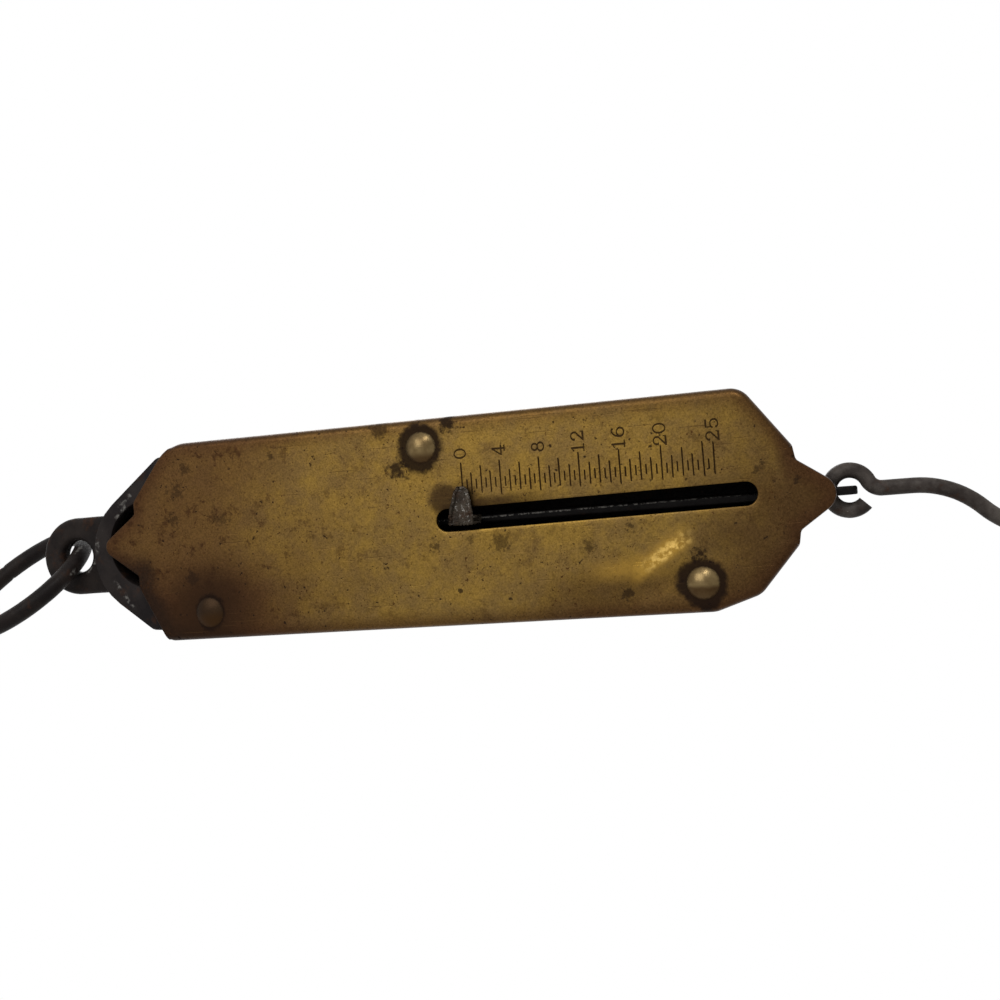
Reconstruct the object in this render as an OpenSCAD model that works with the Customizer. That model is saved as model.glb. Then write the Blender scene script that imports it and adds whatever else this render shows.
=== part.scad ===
// Flat hanging spring balance: a brass face plate riveted on a pressed steel back, a coil
// spring inside, a draw bar with a pointer that runs in the slot, a ring above and a hook below.
// It hangs from the origin, the top of the ring's inside, with its face towards -Y.

/* [Case] */
// Width of the brass face plate
case_w = 38; // [37:0.5:42]
// Length of the face plate from tip to tip
case_len = 138.3; // [136:0.5:150]
// Depth of the case from the face to the back
case_depth = 15.8; // [15.8:0.2:18]
// Thickness of the brass sheet
brass_t = 0.9; // [0.8:0.05:1.1]
// Thickness of the steel sheet
steel_t = 0.8; // [0.6:0.05:1]
// Depth of the edge that is turned back round the steel flange
lip = 2.1; // [1.9:0.1:3]
// Outside radius of the turned edge
bend_r = 1.5; // [1:0.1:1.8]
// Gap between the turned edge and the steel flange
lip_gap = 0.3; // [0.2:0.1:0.6]

/* [Ends of the face plate] */
// Width across the short cut edges at either end
shoulder_w = 16.8; // [15:0.2:19]
// Width of the pointed tabs where they leave the cut edges
tab_w = 12; // [10:0.2:13]
// Height of the top tab above its cut edge
top_tab = 6.7; // [5.5:0.1:8]
// Height of the bottom tab below its cut edge
bottom_tab = 6.6; // [5.5:0.1:8]
// Length of the sloped shoulders at the top
top_slope = 9.4; // [8:0.2:12]
// Height of the sloping shoulder near the ring on the side away from the scale
top_slope_left = 6; // [5:0.2:12]
// Length of the sloped shoulders at the bottom
bottom_slope = 7.8; // [6:0.2:10]
// Height of the worn flat on the corner near the hook, on the side away from the scale
flat_up = 7.8; // [4:0.2:10]
// How far that flat cuts into the corner
flat_in = 2.6; // [1:0.1:4]
// Radius of the four corners
corner_r = 4; // [2.5:0.5:6]
// Radius of the top tab's tip
top_tip_r = 2.1; // [1.5:0.1:2.6]
// Radius of the bottom tab's tip
bottom_tip_r = 3.2; // [2:0.1:3.6]

/* [Steel back] */
// Width of the trough inside
trough_w = 17.2; // [16.8:0.2:18]
// Height of the bare rim above the trough's top end
rim_h = 3; // [1.5:0.1:3.5]
// Distance from the face plate's top tip to the trough's inside
trough_top = 0.6; // [0.4:0.1:1.5]
// Distance from the trough's inside to the face plate's bottom tip
trough_bottom = 6.8; // [6:0.1:8]
// Slant of the rim at the top end, measured from the long axis
rim_slant = 38.3; // [34:0.1:42]

/* [Slot] */
// Width of the pointer's slot
slot_w = 4.1; // [3.4:0.1:5]
// Length of the slot
slot_len = 57.2; // [55:0.2:57.6]
// Distance from the top tip to the slot
slot_top = 68.3; // [68:0.1:69]

/* [Rivets] */
// Radius of the domed rivet heads
head_r = 2.9; // [2.4:0.1:3.1]
// Height of the domed rivet heads
head_h = 1.3; // [0.9:0.1:1.8]
// Radius of the rivet shanks
shank_r = 1.2; // [0.9:0.05:1.5]
// Distance of the rivets from the middle line
rivet_x = 13.8; // [13.4:0.1:14.2]
// Distance from the top tip to the top rivet
rivet_top_z = 21.5; // [20:0.5:24]
// Distance from the top tip to the middle rivet
rivet_middle_z = 66.4; // [64:0.2:68]
// Distance from the bottom rivet to the bottom tip
rivet_bottom_z = 23.1; // [21:0.1:26]

/* [Ring] */
// Radius of the ring to the middle of its wire
ring_r = 14.4; // [14:0.2:17]
// Diameter of the ring's wire
ring_wire = 3.6; // [3:0.1:4]
// Lean of the ring to the side
ring_lean = 20; // [0:1:40]
// Turn of the ring in the eye
ring_turn = 32; // [0:1:34]

/* [Top anchor] */
// Width of the flat anchor
anchor_w = 15.7; // [14:0.1:16.5]
// Width of its neck, which goes into the case
neck_w = 14.2; // [13:0.1:14.8]
// Shift of the eye and of the bare rim away from the side with the scale
eye_shift = 1.4; // [0:0.1:2]
// Thickness of the flat anchor
anchor_t = 3.6; // [3:0.1:4]
// Radius of the eye that the ring goes through
eye_r = 3.2; // [3.15:0.05:3.6]
// Height of the eye above the face plate's top tip
eye_h = 10.8; // [10.4:0.2:14]
// Radius of the shoulder under the trough's end
collar_r = 6.2; // [5.6:0.1:6.4]

/* [Spring] */
// Diameter of the spring's wire
wire_d = 1.65; // [1.4:0.05:1.7]
// Radius of the coil to the middle of its wire
coil_r = 5.7; // [5.3:0.1:5.7]
// Number of turns
turns = 23.5; // [21.5:0.5:24]
// Space between neighbouring turns
coil_gap = 0.45; // [0.42:0.01:0.5]
// Pitch of the turns that sit in the notches
end_pitch = 3; // [2.8:0.1:3.2]

/* [Draw bar and pointer] */
// Thickness of the draw bar
bar_t = 1.6; // [1.2:0.1:2]
// Width of the draw bar
bar_w = 7; // [6:0.2:7.6]
// Width of the notched heads inside the coil
head_w = 12.4; // [12:0.1:12.6]
// Thickness of the anchor's notched tongue
tongue_t = 2; // [1.6:0.1:2.4]
// Height of the hook's hole in the bar above the face plate's bottom tip
hole_up = 1.45; // [-1:0.05:1.8]
// Play of the hook's wire in its hole, on the radius
hook_play = 0.42; // [0.3:0.02:0.6]
// Distance from the slot's top to the pointer's stem
pointer_gap = 2.6; // [2.2:0.1:3]
// Height of the pointer's stem
stem_h = 4.7; // [4:0.1:5]
// Reach of the pointer from the middle line
pointer_reach = 6.1; // [5.4:0.1:7]
// Height of the pointer at its tip
pointer_tip = 2.6; // [1.6:0.1:3.4]
// Thickness of the pointer's finger
finger_t = 1.1; // [0.8:0.1:1.4]
// Gap between the finger and the face
finger_gap = 0.4; // [0.3:0.05:0.8]

/* [Hook] */
// Diameter of the hook's wire
hook_wire = 2.8; // [2.6:0.1:3]
// Radius of the hook's eye to the middle of its wire
hook_eye_r = 3.45; // [3.4:0.05:4]
// Radius of the hook's bowl to the middle of its wire
bowl_r = 9; // [7.5:0.5:12]
// Inside radius of the bend between eye and shank
neck_r = 2.5; // [2:0.1:4]
// Length of the straight shank
shank_len = 5; // [0.5:0.1:8]
// Turn of each bend between shank and bowl
bend_turn = 45; // [40:1:55]
// Turn of the bend at the hook's tip
tip_turn = 42; // [20:1:60]
// Radius of the bend at the hook's tip
tip_bend_r = 7; // [5:0.5:10]

/* [Hidden] */
$fn = 64;
// The gap left between neighbours that don't touch, and that left round a rivet
seat = 0.3;
slack = 0.05;
// How far a cut runs past what it cuts
over = 1;
// A rounded corner takes a step for every so many degrees
corner_step = 12;
// Share of the bend that the edges cut flat are rounded by
flat_share = 0.2;
// Drop of the bottom tab's foot below the cut edges beside it
tab_step = 0.4;
// Drop of the eye's centre below the ring's wire inside it
ring_in_eye = 0.5;
// Shift of the notches towards the middle line, for the curve of the turns
notch_shift = 0.15;
// Height of the shoulder's underside above the centre of the trough's round end
collar_up = 0.85;
// Gap that the hanging hook leaves to the lower edge of its hole
hook_rest = 0.2;
// Gap between the bar's end and the inside of the hook's eye
eye_gap = 0.65;
// Drop of the pointer's finger below the middle of its stem
finger_drop = 0.4;

half_w = case_w / 2;
trough_r = trough_w / 2;
trough_out = trough_r + steel_t;
face_y = -case_depth / 2;
sheet_y = face_y + brass_t;
flange_y = sheet_y + steel_t;
trough_y = case_depth / 2 - trough_out;
lip_y = face_y + lip;

// The ring hangs from the origin and the eye hangs on the ring.
hang_drop = 2 * ring_r - ring_wire / 2;
pivot_x = hang_drop * sin(ring_lean);
case_x = pivot_x + eye_shift;
pivot_z = -hang_drop * cos(ring_lean);
eye_z = pivot_z - ring_in_eye;
tip_z = eye_z - eye_h;
trough_top_z = -trough_top - trough_r;
trough_bottom_z = -case_len + trough_bottom + trough_r;

mid_pitch = wire_d + coil_gap;
end_turns = 2.2;
first_angle = -45;
last_angle = first_angle + 360 * turns;
collar_low = trough_top_z + collar_up;
spring_z = collar_low - seat - wire_d / 2;
notch_r = wire_d / 2 + seat;
bar_angle = floor((last_angle - 90) / 180) * 180 + 90;

stem_top = -slot_top - pointer_gap;
finger_z = stem_top - stem_h / 2 - finger_drop;
hook_hole_r = hook_wire / 2 + hook_play;
hook_hole_z = -case_len + hole_up;
hook_pin_z = hook_hole_z - hook_play + hook_rest;
bar_end_z = hook_pin_z - 2 * hook_eye_r + hook_wire / 2 + eye_gap;

function unit(v) = v / norm(v);
function half_turn(a) = a > 180 ? a - 360 : a < -180 ? a + 360 : a;
function angle_of(v) = atan2(v.y, v.x);
function inward(a, b) = let (e = unit(b - a)) [-e.y, e.x];

// The points [x, z] of one rounded corner at p, between the corners before and after it
function corner(a, p, c, r, steps) = let (
    u = unit(a - p),
    v = unit(c - p),
    half = acos(u * v) / 2,
    centre = p + unit(u + v) * r / sin(half),
    from = angle_of(p + u * r / tan(half) - centre),
    turn = half_turn(angle_of(p + v * r / tan(half) - centre) - from)
) [for (i = [0 : steps]) centre + r * [cos(from + turn * i / steps), sin(from + turn * i / steps)]];

// The outline round the corners [x, z, radius, share], each edge drawn in by d times the share of
// the corner that it starts from. Half of a corner's points belong to each of its edges, and every
// point is followed by the share of its edge.
function outline(p, d = 0) = let (
    n = len(p),
    at = [for (q = p) [q.x, q.y]],
    bends = [for (i = [0 : n - 1]) half_turn(
        angle_of(at[(i + 1) % n] - at[i]) - angle_of(at[i] - at[(i + n - 1) % n]))],
    drawn = [for (i = [0 : n - 1]) let (
        a = inward(at[(i + n - 1) % n], at[i]),
        b = inward(at[i], at[(i + 1) % n]),
        da = d * p[(i + n - 1) % n][3],
        db = d * p[i][3],
        c = a * b
    ) at[i] + ((da - c * db) * a + (db - c * da) * b) / (1 - c * c)],
    radii = [for (i = [0 : n - 1]) let (in = d * min(p[(i + n - 1) % n][3], p[i][3]))
        bends[i] > 0 ? max(p[i][2] - in, 0.4) : p[i][2] + in]
) [for (i = [0 : n - 1]) let (
    steps = max(2, ceil(abs(bends[i]) / corner_step)),
    q = corner(drawn[(i + n - 1) % n], drawn[i], drawn[(i + 1) % n], radii[i], steps)
) for (k = [0 : steps]) [q[k].x, q[k].y, p[2 * k < steps ? (i + n - 1) % n : i][3]]];

module outlined(corners, d = 0) {
    polygon([for (q = outline(corners, d)) [q.x, q.y]]);
}

// Height of the point where a tab's two flanks would meet above its tip
function tab_apex(w, h, r) = let (
    lean = atan2(w / 2, h - r) - asin(r / norm([w / 2, h - r]))
) w / 2 / tan(lean) - h;

// The two corners of the worn flat, as [x, height above the foot of the slope]
worn_corner = [[-half_w, bottom_slope + flat_up - 0.9], [-half_w + flat_in, bottom_slope - 0.9]];

// The face's corners, from the top tip down the left side. The edges that are turned back, the
// sides and the bottom shoulders, have the share 1.
face_corners = let (
    top = -top_tab,
    low = -case_len + bottom_tab,
    foot = low - tab_step,
    flat = flat_share,
    cut = 0.99
) [
    [0, tab_apex(tab_w, top_tab, top_tip_r), top_tip_r, flat],
    [-tab_w / 2, top, 0.6, flat],
    [-shoulder_w / 2, top, 1.2, flat],
    [-half_w, top - top_slope_left, corner_r, 1],
    each [for (q = worn_corner) [q.x, low + q.y, corner_r, 1]],
    [-shoulder_w / 2, low, 1.6, cut],
    [-tab_w / 2, foot, 1.2, flat],
    [0, -case_len - tab_apex(tab_w, bottom_tab - tab_step, bottom_tip_r), bottom_tip_r, flat],
    [tab_w / 2, foot, 1.2, cut],
    [shoulder_w / 2, low, 1.6, 1],
    [half_w, low + bottom_slope, corner_r, 1],
    [half_w, top - top_slope, corner_r, flat],
    [shoulder_w / 2, top, 1.2, flat],
    [tab_w / 2, top, 0.6, flat]
];

// The steel flange's corners: the bare rim at the top, and the face's own edge elsewhere, which the
// flange is drawn in from by flange_in
rim_r = trough_out + rim_h;
flange_in = max(brass_t + lip_gap, bend_r + 2 * slack);
flange_corners = let (
    apex = trough_top_z + rim_r / sin(rim_slant),
    left = apex - (half_w - eye_shift) / tan(rim_slant),
    right = apex - (half_w + eye_shift) / tan(rim_slant),
    taper = 2 * lip_gap,
    low = -case_len + bottom_tab
) [
    [-eye_shift, apex, rim_r, 0], [-half_w + taper, left + taper, 2, 1], [-half_w, left - 8, 2, 1],
    each [for (q = worn_corner) [q.x, low + q.y, corner_r, 1]],
    [-shoulder_w / 2, low, 1.6, 1], [shoulder_w / 2, low, 1.6, 1],
    [half_w, low + bottom_slope, corner_r, 1], [half_w, right - 8, 2, 1],
    [half_w - taper, right + taper, 2, 0]
];

// The section through the sheet's edge as [drawn in, depth behind the face, on the inside]: from
// the face round the bend to the lip, and back along the inside
edge_section = [
    for (a = [90 : -30 : 0]) [bend_r * (1 - cos(a)), bend_r * (1 - sin(a)), false],
    [0, lip, false],
    [brass_t, lip, true],
    for (a = [0 : 30 : 90]) let (r = bend_r - brass_t) [bend_r - r * cos(a), bend_r - r * sin(a), true]
];

// Depth of a point of the edge section: the edges with a smaller share than 1 are cut flat
function edge_depth(e, share) = share == 1 ? e.y : e[2] ? brass_t : e.y * brass_t / lip;

// Everything in the case is drawn with its top tip at the origin of this module.
module in_case() {
    translate([case_x, 0, tip_z]) children();
}

module upright(y0, y1) {
    translate([0, y1, 0]) rotate([90, 0, 0]) linear_extrude(y1 - y0) children();
}

module along_y(x, z, r, y0, y1) {
    translate([x, y1, z]) rotate([90, 0, 0]) cylinder(r = r, h = y1 - y0);
}

// The brass sheet with its turned edge, as one skin
module sheet() {
    rings = [for (e = edge_section) [for (q = outline(face_corners, e.x))
        [q.x, face_y + edge_depth(e, q[2]), q.y]]];
    n = len(rings[0]);
    m = len(rings);
    polyhedron(
        points = [for (ring = rings) each ring],
        faces = [
            [for (i = [n - 1 : -1 : 0]) i],
            for (j = [0 : m - 2], i = [0 : n - 1], part = [0, 1]) let (k = (i + 1) % n)
                part == 0 ? [j * n + i, j * n + k, (j + 1) * n + i]
                : [j * n + k, (j + 1) * n + k, (j + 1) * n + i],
            [for (i = [0 : n - 1]) (m - 1) * n + i]
        ]
    );
}

function rivet_places() = [
    [-rivet_x, -rivet_top_z],
    [rivet_x, -rivet_middle_z],
    [-rivet_x, rivet_bottom_z - case_len]
];

module face_plate() {
    color("#a8823c") in_case() difference() {
        sheet();
        slot(face_y - over, sheet_y + over);
        for (p = rivet_places()) along_y(p.x, p.y, shank_r + slack, face_y - over, sheet_y + over);
    }
}

module slot(y0, y1) {
    r = slot_w / 2;
    along_y(0, -slot_top - r, r, y0, y1);
    along_y(0, -slot_top - slot_len + r, r, y0, y1);
    translate([-r, y0, -slot_top - slot_len + r]) cube([slot_w, y1 - y0, slot_len - slot_w]);
}

// The trough's form, a U with round ends, at radius r
module trough(r, y0) {
    along_y(0, trough_top_z, r, y0, trough_y);
    along_y(0, trough_bottom_z, r, y0, trough_y);
    translate([-r, y0, trough_bottom_z]) cube([2 * r, trough_y - y0, trough_top_z - trough_bottom_z]);
    translate([0, trough_y, trough_top_z]) sphere(r = r);
    translate([0, trough_y, trough_bottom_z]) sphere(r = r);
    translate([0, trough_y, trough_bottom_z]) cylinder(r = r, h = trough_top_z - trough_bottom_z);
}

module back_shell() {
    anchor_slot = [neck_w + 2 * seat, anchor_t + 2 * seat];
    bar_slot = [bar_t + 4 * seat, bar_w + 4 * seat];
    color("#3b3a38") in_case() difference() {
        union() {
            upright(sheet_y, flange_y) outlined(flange_corners, flange_in);
            intersection() {
                trough(trough_out, sheet_y);
                translate([-half_w, sheet_y, -case_len]) cube([case_w, case_depth, case_len + rim_r]);
            }
        }
        trough(trough_r, sheet_y - over);
        translate([-anchor_slot.x / 2, -anchor_slot.y / 2, -trough_out / 2 - trough_top - 2])
            cube([anchor_slot.x, anchor_slot.y, trough_out]);
        translate([-bar_slot.x / 2, -bar_slot.y / 2, trough_bottom_z - trough_out - over])
            cube([bar_slot.x, bar_slot.y, trough_out]);
        for (p = rivet_places()) along_y(p.x, p.y, shank_r + slack, sheet_y - over, flange_y + over);
    }
}

// A rivet with its domed head on the face and its tail hammered flat behind the flange
module rivet(place, h) {
    dome_r = (head_r * head_r + h * h) / (2 * h);
    tail_r = shank_r * 1.7;
    color("#b08d4a") in_case() translate([place.x, 0, place.y]) {
        translate([0, face_y, 0]) rotate([90, 0, 0]) intersection() {
            cylinder(r = head_r, h = h);
            translate([0, 0, h - dome_r]) sphere(r = dome_r);
        }
        along_y(0, 0, shank_r, face_y - slack, flange_y + slack);
        translate([0, flange_y + 0.8, 0]) rotate([90, 0, 0]) cylinder(r1 = tail_r * 0.8, r2 = tail_r, h = 0.8);
    }
}

module rivet_top() { rivet(rivet_places()[0], head_h * 0.6); }
module rivet_middle() { rivet(rivet_places()[1], head_h); }
module rivet_bottom() { rivet(rivet_places()[2], head_h); }

module hanging_ring() {
    color("#2e2b28") translate([pivot_x, 0, pivot_z]) rotate([0, -ring_lean, 0]) rotate([0, 0, -ring_turn])
        translate([0, 0, ring_r]) rotate([0, 90, 0])
            rotate_extrude() translate([ring_r, 0]) circle(d = ring_wire, $fn = 32);
}

// Half the section across the flat anchor where it is w wide, with its edges rounded off
module anchor_section(w) {
    r = anchor_t * 0.3;
    translate([0, -anchor_t / 2]) square([w / 2 - r, anchor_t]);
    translate([0, -anchor_t / 2 + r]) square([w / 2, anchor_t - 2 * r]);
    for (s = [-1, 1]) translate([w / 2 - r, s * (anchor_t / 2 - r)]) circle(r = r, $fn = 32);
}

module anchor_flat(w, h) {
    linear_extrude(h) {
        anchor_section(w);
        mirror([1, 0]) anchor_section(w);
    }
}

module top_anchor() {
    flat_low = trough_top_z + trough_r * 0.38;
    flat_foot = trough_top_z + trough_out + seat;
    flare = anchor_t * 0.36;
    tongue_low = wire_z(540) - notch_r - 0.5;
    color("#34312e") in_case() difference() {
        union() {
            translate([-eye_shift, 0, eye_h]) rotate([90, 0, 0]) rotate_extrude() anchor_section(anchor_w);
            translate([-eye_shift, 0, flat_foot]) anchor_flat(anchor_w, eye_h - flat_foot);
            translate([0, 0, flat_low]) anchor_flat(neck_w, flat_foot + over - flat_low);
            intersection() {
                translate([0, trough_y, trough_top_z]) sphere(r = trough_r - seat);
                translate([0, 0, collar_low]) cylinder(r = collar_r, h = trough_r * 2);
            }
            translate([-head_w / 2, -tongue_t / 2, tongue_low])
                cube([head_w, tongue_t, collar_low - tongue_low + slack]);
        }
        translate([-eye_shift, 0, eye_h]) rotate([90, 0, 0]) eye_cut(eye_r, flare, anchor_t);
        for (a = [0 : 180 : 720])
            along_y((coil_r - notch_shift) * cos(a), wire_z(a), notch_r, -anchor_t, anchor_t);
    }
}

// A hole of radius r through a plate t thick, its two rims rounded by f
module eye_cut(r, f, t) {
    rotate_extrude() difference() {
        translate([0, -t]) square([r + f, 2 * t]);
        for (s = [-1, 1]) translate([r + f, s * (t / 2 - f)]) circle(r = f, $fn = 32);
        translate([r, -t / 2 + f]) square([f + over, t - 2 * f]);
    }
}

function drop(t) = t < end_turns ? end_pitch * t
    : t < turns - end_turns ? end_pitch * end_turns + mid_pitch * (t - end_turns)
    : end_pitch * (t - turns + 2 * end_turns) + mid_pitch * (turns - 2 * end_turns);
function wire_z(angle) = spring_z - drop((angle - first_angle) / 360);
function wire_point(angle) = [coil_r * cos(angle), coil_r * sin(angle), wire_z(angle)];

// The spring's middle line: a straight end, the turns, and a straight end
curl_steps = 8;
coil_points = let (
    count = curl_steps * turns,
    turn_points = [for (i = [0 : count]) wire_point(first_angle + 360 * i / curl_steps)]
) [
    turn_points[0] + wire_d * [sin(first_angle), -cos(first_angle), 0],
    each turn_points,
    turn_points[count] + wire_d * [-sin(last_angle), cos(last_angle), 0]
];
coil_least = min([for (i = [0 : len(coil_points) - curl_steps - 2], k = [-1 : 1])
    norm(coil_points[i + curl_steps + k] - coil_points[i])]) - wire_d;
echo(least_gap_between_turns = coil_least);

// A round wire along a path. The path never runs along the axis given.
module tube(path, radii, sides, axis) {
    n = len(path);
    rings = [for (i = [0 : n - 1]) let (
        t = unit(path[min(i + 1, n - 1)] - path[max(i - 1, 0)]),
        u = unit(cross(axis, t)),
        v = cross(t, u)
    ) [for (j = [0 : sides - 1]) path[i] + radii[i] * (u * cos(360 * j / sides) + v * sin(360 * j / sides))]];
    polyhedron(
        points = [for (r = rings) each r],
        faces = [
            [for (j = [0 : sides - 1]) j],
            for (i = [0 : n - 2], j = [0 : sides - 1], part = [0, 1]) let (k = (j + 1) % sides)
                part == 0 ? [i * sides + j, (i + 1) * sides + j, i * sides + k]
                : [i * sides + k, (i + 1) * sides + j, (i + 1) * sides + k],
            [for (j = [sides - 1 : -1 : 0]) (n - 1) * sides + j]
        ]
    );
}

module coil_spring() {
    color("#6c6862") in_case() tube(coil_points, [for (p = coil_points) wire_d / 2], 6, [0, 0, 1]);
}

// The draw bar's outline, seen from the side: its notched head, its neck and its round end
module bar_profile() {
    head_top = wire_z(bar_angle - 540) + notch_r + 0.5;
    head_low = wire_z(bar_angle) - notch_r - 1;
    neck_low = head_low - (head_w - bar_w) / 2;
    outlined([
        [-bar_w / 2, bar_end_z, bar_w * 0.45, 1], [bar_w / 2, bar_end_z, bar_w * 0.45, 1],
        [bar_w / 2, neck_low, 1, 1], [head_w / 2, head_low, 0.5, 1], [head_w / 2, head_top, 0.6, 1],
        [-head_w / 2, head_top, 0.6, 1], [-head_w / 2, head_low, 0.5, 1], [-bar_w / 2, neck_low, 1, 1]
    ]);
}

module draw_bar() {
    color("#45423e") in_case() difference() {
        translate([-bar_t / 2, 0, 0]) rotate([90, 0, 90]) linear_extrude(bar_t) bar_profile();
        for (k = [0 : 4]) let (a = bar_angle - 180 * k)
            across((coil_r - notch_shift) * sin(a), wire_z(a), notch_r);
        across(0, hook_hole_z, hook_hole_r);
    }
}

// A round cut through the bar from side to side
module across(y, z, r) {
    translate([-bar_t, y, z]) rotate([0, 90, 0]) cylinder(r = r, h = 2 * bar_t);
}

// The pointer: a stem on the bar's front edge, and a finger bent over the scale
module pointer() {
    stem_low = stem_top - stem_h;
    front = face_y - finger_gap;
    mid = (stem_top + stem_low) / 2;
    color("#6f6d68") in_case() {
        translate([-bar_t / 2, front - finger_t / 2, stem_low]) cube([bar_t, -bar_w / 2 - front + finger_t / 2, stem_h]);
        upright(front - finger_t, front) polygon([
            [-bar_t / 2, stem_low], [bar_t / 2 + 1, stem_low + 0.2],
            [pointer_reach - 0.7, finger_z - pointer_tip / 2], [pointer_reach, finger_z - pointer_tip / 4],
            [pointer_reach, finger_z + pointer_tip / 4], [pointer_reach - 0.7, finger_z + pointer_tip / 2],
            [bar_t / 2 + 1, stem_top - 0.2], [-bar_t / 2, stem_top]
        ]);
    }
}

// Points of a bend about c in the face's plane, from angle a through turn, a step every 12 degrees
function bend(c, r, a, turn) = let (n = ceil(abs(turn) / 12))
    [for (i = [0 : n]) c + r * [cos(a + turn * i / n), sin(a + turn * i / n)]];

// The hook's middle line: round the eye, down the shank, through the bowl and out at the tip
hook_path = let (
    eye_z0 = hook_pin_z - hook_eye_r,
    reach = neck_r + hook_eye_r,
    lean = asin(neck_r / reach),
    neck_z = eye_z0 - reach * cos(lean),
    bend_r1 = bowl_r / 2 / (1 - cos(bend_turn)),
    bend_z = neck_z - shank_len,
    bowl_z = bend_z - 2 * bend_r1 * sin(bend_turn),
    pieces = [
        bend([0, eye_z0], hook_eye_r, 228, lean - 228 - 90),
        bend([neck_r, neck_z], neck_r, 90 + lean, 90 - lean),
        bend([-bend_r1, bend_z], bend_r1, 0, -bend_turn),
        bend([bend_r1 - bowl_r, bowl_z], bend_r1, 180 - bend_turn, bend_turn),
        bend([0, bowl_z], bowl_r, 180, 180),
        bend([bowl_r + tip_bend_r, bowl_z], tip_bend_r, 180, -tip_turn)
    ]
) [for (i = [0 : len(pieces) - 1], k = [(i == 0 || i == 2 ? 0 : 1) : len(pieces[i]) - 1])
    [pieces[i][k].x, 0, pieces[i][k].y]];

module hook() {
    r = hook_wire / 2;
    n = len(hook_path);
    way = unit(hook_path[n - 1] - hook_path[n - 2]);
    cap = [0.5, 0.85, 1];
    color("#4a4743") in_case() tube(
        [each hook_path, for (c = cap) hook_path[n - 1] + way * r * c],
        [for (i = [0 : n - 1]) r, for (c = cap) r * sqrt(max(1 - c * c, 0.01))],
        14, [0, 1, 0]
    );
}

hanging_ring();
top_anchor();
face_plate();
back_shell();
rivet_top();
rivet_middle();
rivet_bottom();
coil_spring();
draw_bar();
pointer();
hook();
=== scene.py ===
# %% [markdown]
# # A hanging spring balance
# An antique pocket balance: a brass face riveted to a pressed steel back, a ring above, a hook
# below, and a bar with a pointer that the load draws down against a long spring. The script dresses
# the exact parts of the frame. It starts by loading them, and keeps their box.

from math import acos, asin, atan2, ceil, cos, degrees, hypot, pi, radians, sin, sqrt, tan

import bmesh
import bpy
import numpy as np
from mathutils import Matrix, Vector, geometry, noise


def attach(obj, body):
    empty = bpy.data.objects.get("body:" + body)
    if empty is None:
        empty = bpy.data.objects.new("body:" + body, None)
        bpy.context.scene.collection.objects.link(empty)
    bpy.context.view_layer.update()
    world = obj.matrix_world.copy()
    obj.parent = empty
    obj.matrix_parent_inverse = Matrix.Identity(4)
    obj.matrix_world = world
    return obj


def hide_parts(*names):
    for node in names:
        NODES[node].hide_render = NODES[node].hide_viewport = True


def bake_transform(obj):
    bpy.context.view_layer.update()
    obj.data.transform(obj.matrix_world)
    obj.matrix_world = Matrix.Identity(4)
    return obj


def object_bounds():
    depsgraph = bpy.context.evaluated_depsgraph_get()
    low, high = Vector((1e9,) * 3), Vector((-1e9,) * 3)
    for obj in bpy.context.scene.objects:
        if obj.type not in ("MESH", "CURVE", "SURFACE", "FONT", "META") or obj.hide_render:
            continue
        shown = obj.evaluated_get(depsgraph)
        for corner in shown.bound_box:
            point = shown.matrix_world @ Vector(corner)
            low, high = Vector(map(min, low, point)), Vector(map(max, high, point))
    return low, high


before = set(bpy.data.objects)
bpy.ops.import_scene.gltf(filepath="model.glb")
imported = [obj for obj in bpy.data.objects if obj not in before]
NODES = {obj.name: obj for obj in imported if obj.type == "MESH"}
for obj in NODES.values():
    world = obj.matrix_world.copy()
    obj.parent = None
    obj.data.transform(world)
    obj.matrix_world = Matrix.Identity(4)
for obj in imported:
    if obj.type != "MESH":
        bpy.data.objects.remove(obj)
CAD_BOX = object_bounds()
MM = 0.001
print("the frame has", len(NODES), "parts, its box in mm",
      [[round(c * 1000, 2) for c in corner] for corner in CAD_BOX])

# %% [markdown]
# ## Camera
# The balance is seen almost square to its face, with the ring to the left. In the frame it hangs,
# so the camera is rolled by a quarter turn. Its place was fitted to the outline of the face.

# %% Camera
def add_object(name, data):
    """A new object in the scene"""
    made = bpy.data.objects.new(name, data)
    bpy.context.scene.collection.objects.link(made)
    return made


CAMERA_AT = Vector((13.78, -214.86, -172.39)) * MM
FORWARD = Vector((0, 0.9662, 0.2578)).normalized()
ROLL = (0.9968, 0.0803)
down_the_face = Vector((0, 0.2578, -0.9662)).normalized()
right = down_the_face * ROLL[0] - Vector((1, 0, 0)) * ROLL[1]
up = down_the_face * ROLL[1] + Vector((1, 0, 0)) * ROLL[0]

camera = add_object("camera", bpy.data.cameras.new("camera"))
turn = Matrix((right, up, -FORWARD)).transposed().to_4x4()
camera.matrix_world = Matrix.Translation(CAMERA_AT) @ turn
camera.data.lens = 43.2
camera.data.sensor_width = 36
camera.data.clip_start = 0.01
bpy.context.scene.camera = camera
bpy.context.scene.view_settings.view_transform = "Standard"
print("the camera stands", round((CAMERA_AT - (CAD_BOX[0] + CAD_BOX[1]) / 2).length, 3), "m away")

# %% [markdown]
# ## Node helpers
# Materials and Geometry Nodes are both trees of nodes. One helper puts a node into a tree and links
# or sets each input. A small class lets the results be added and multiplied like numbers, so that a
# tree reads like a formula. A bar between two fields stands for the larger one.

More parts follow.
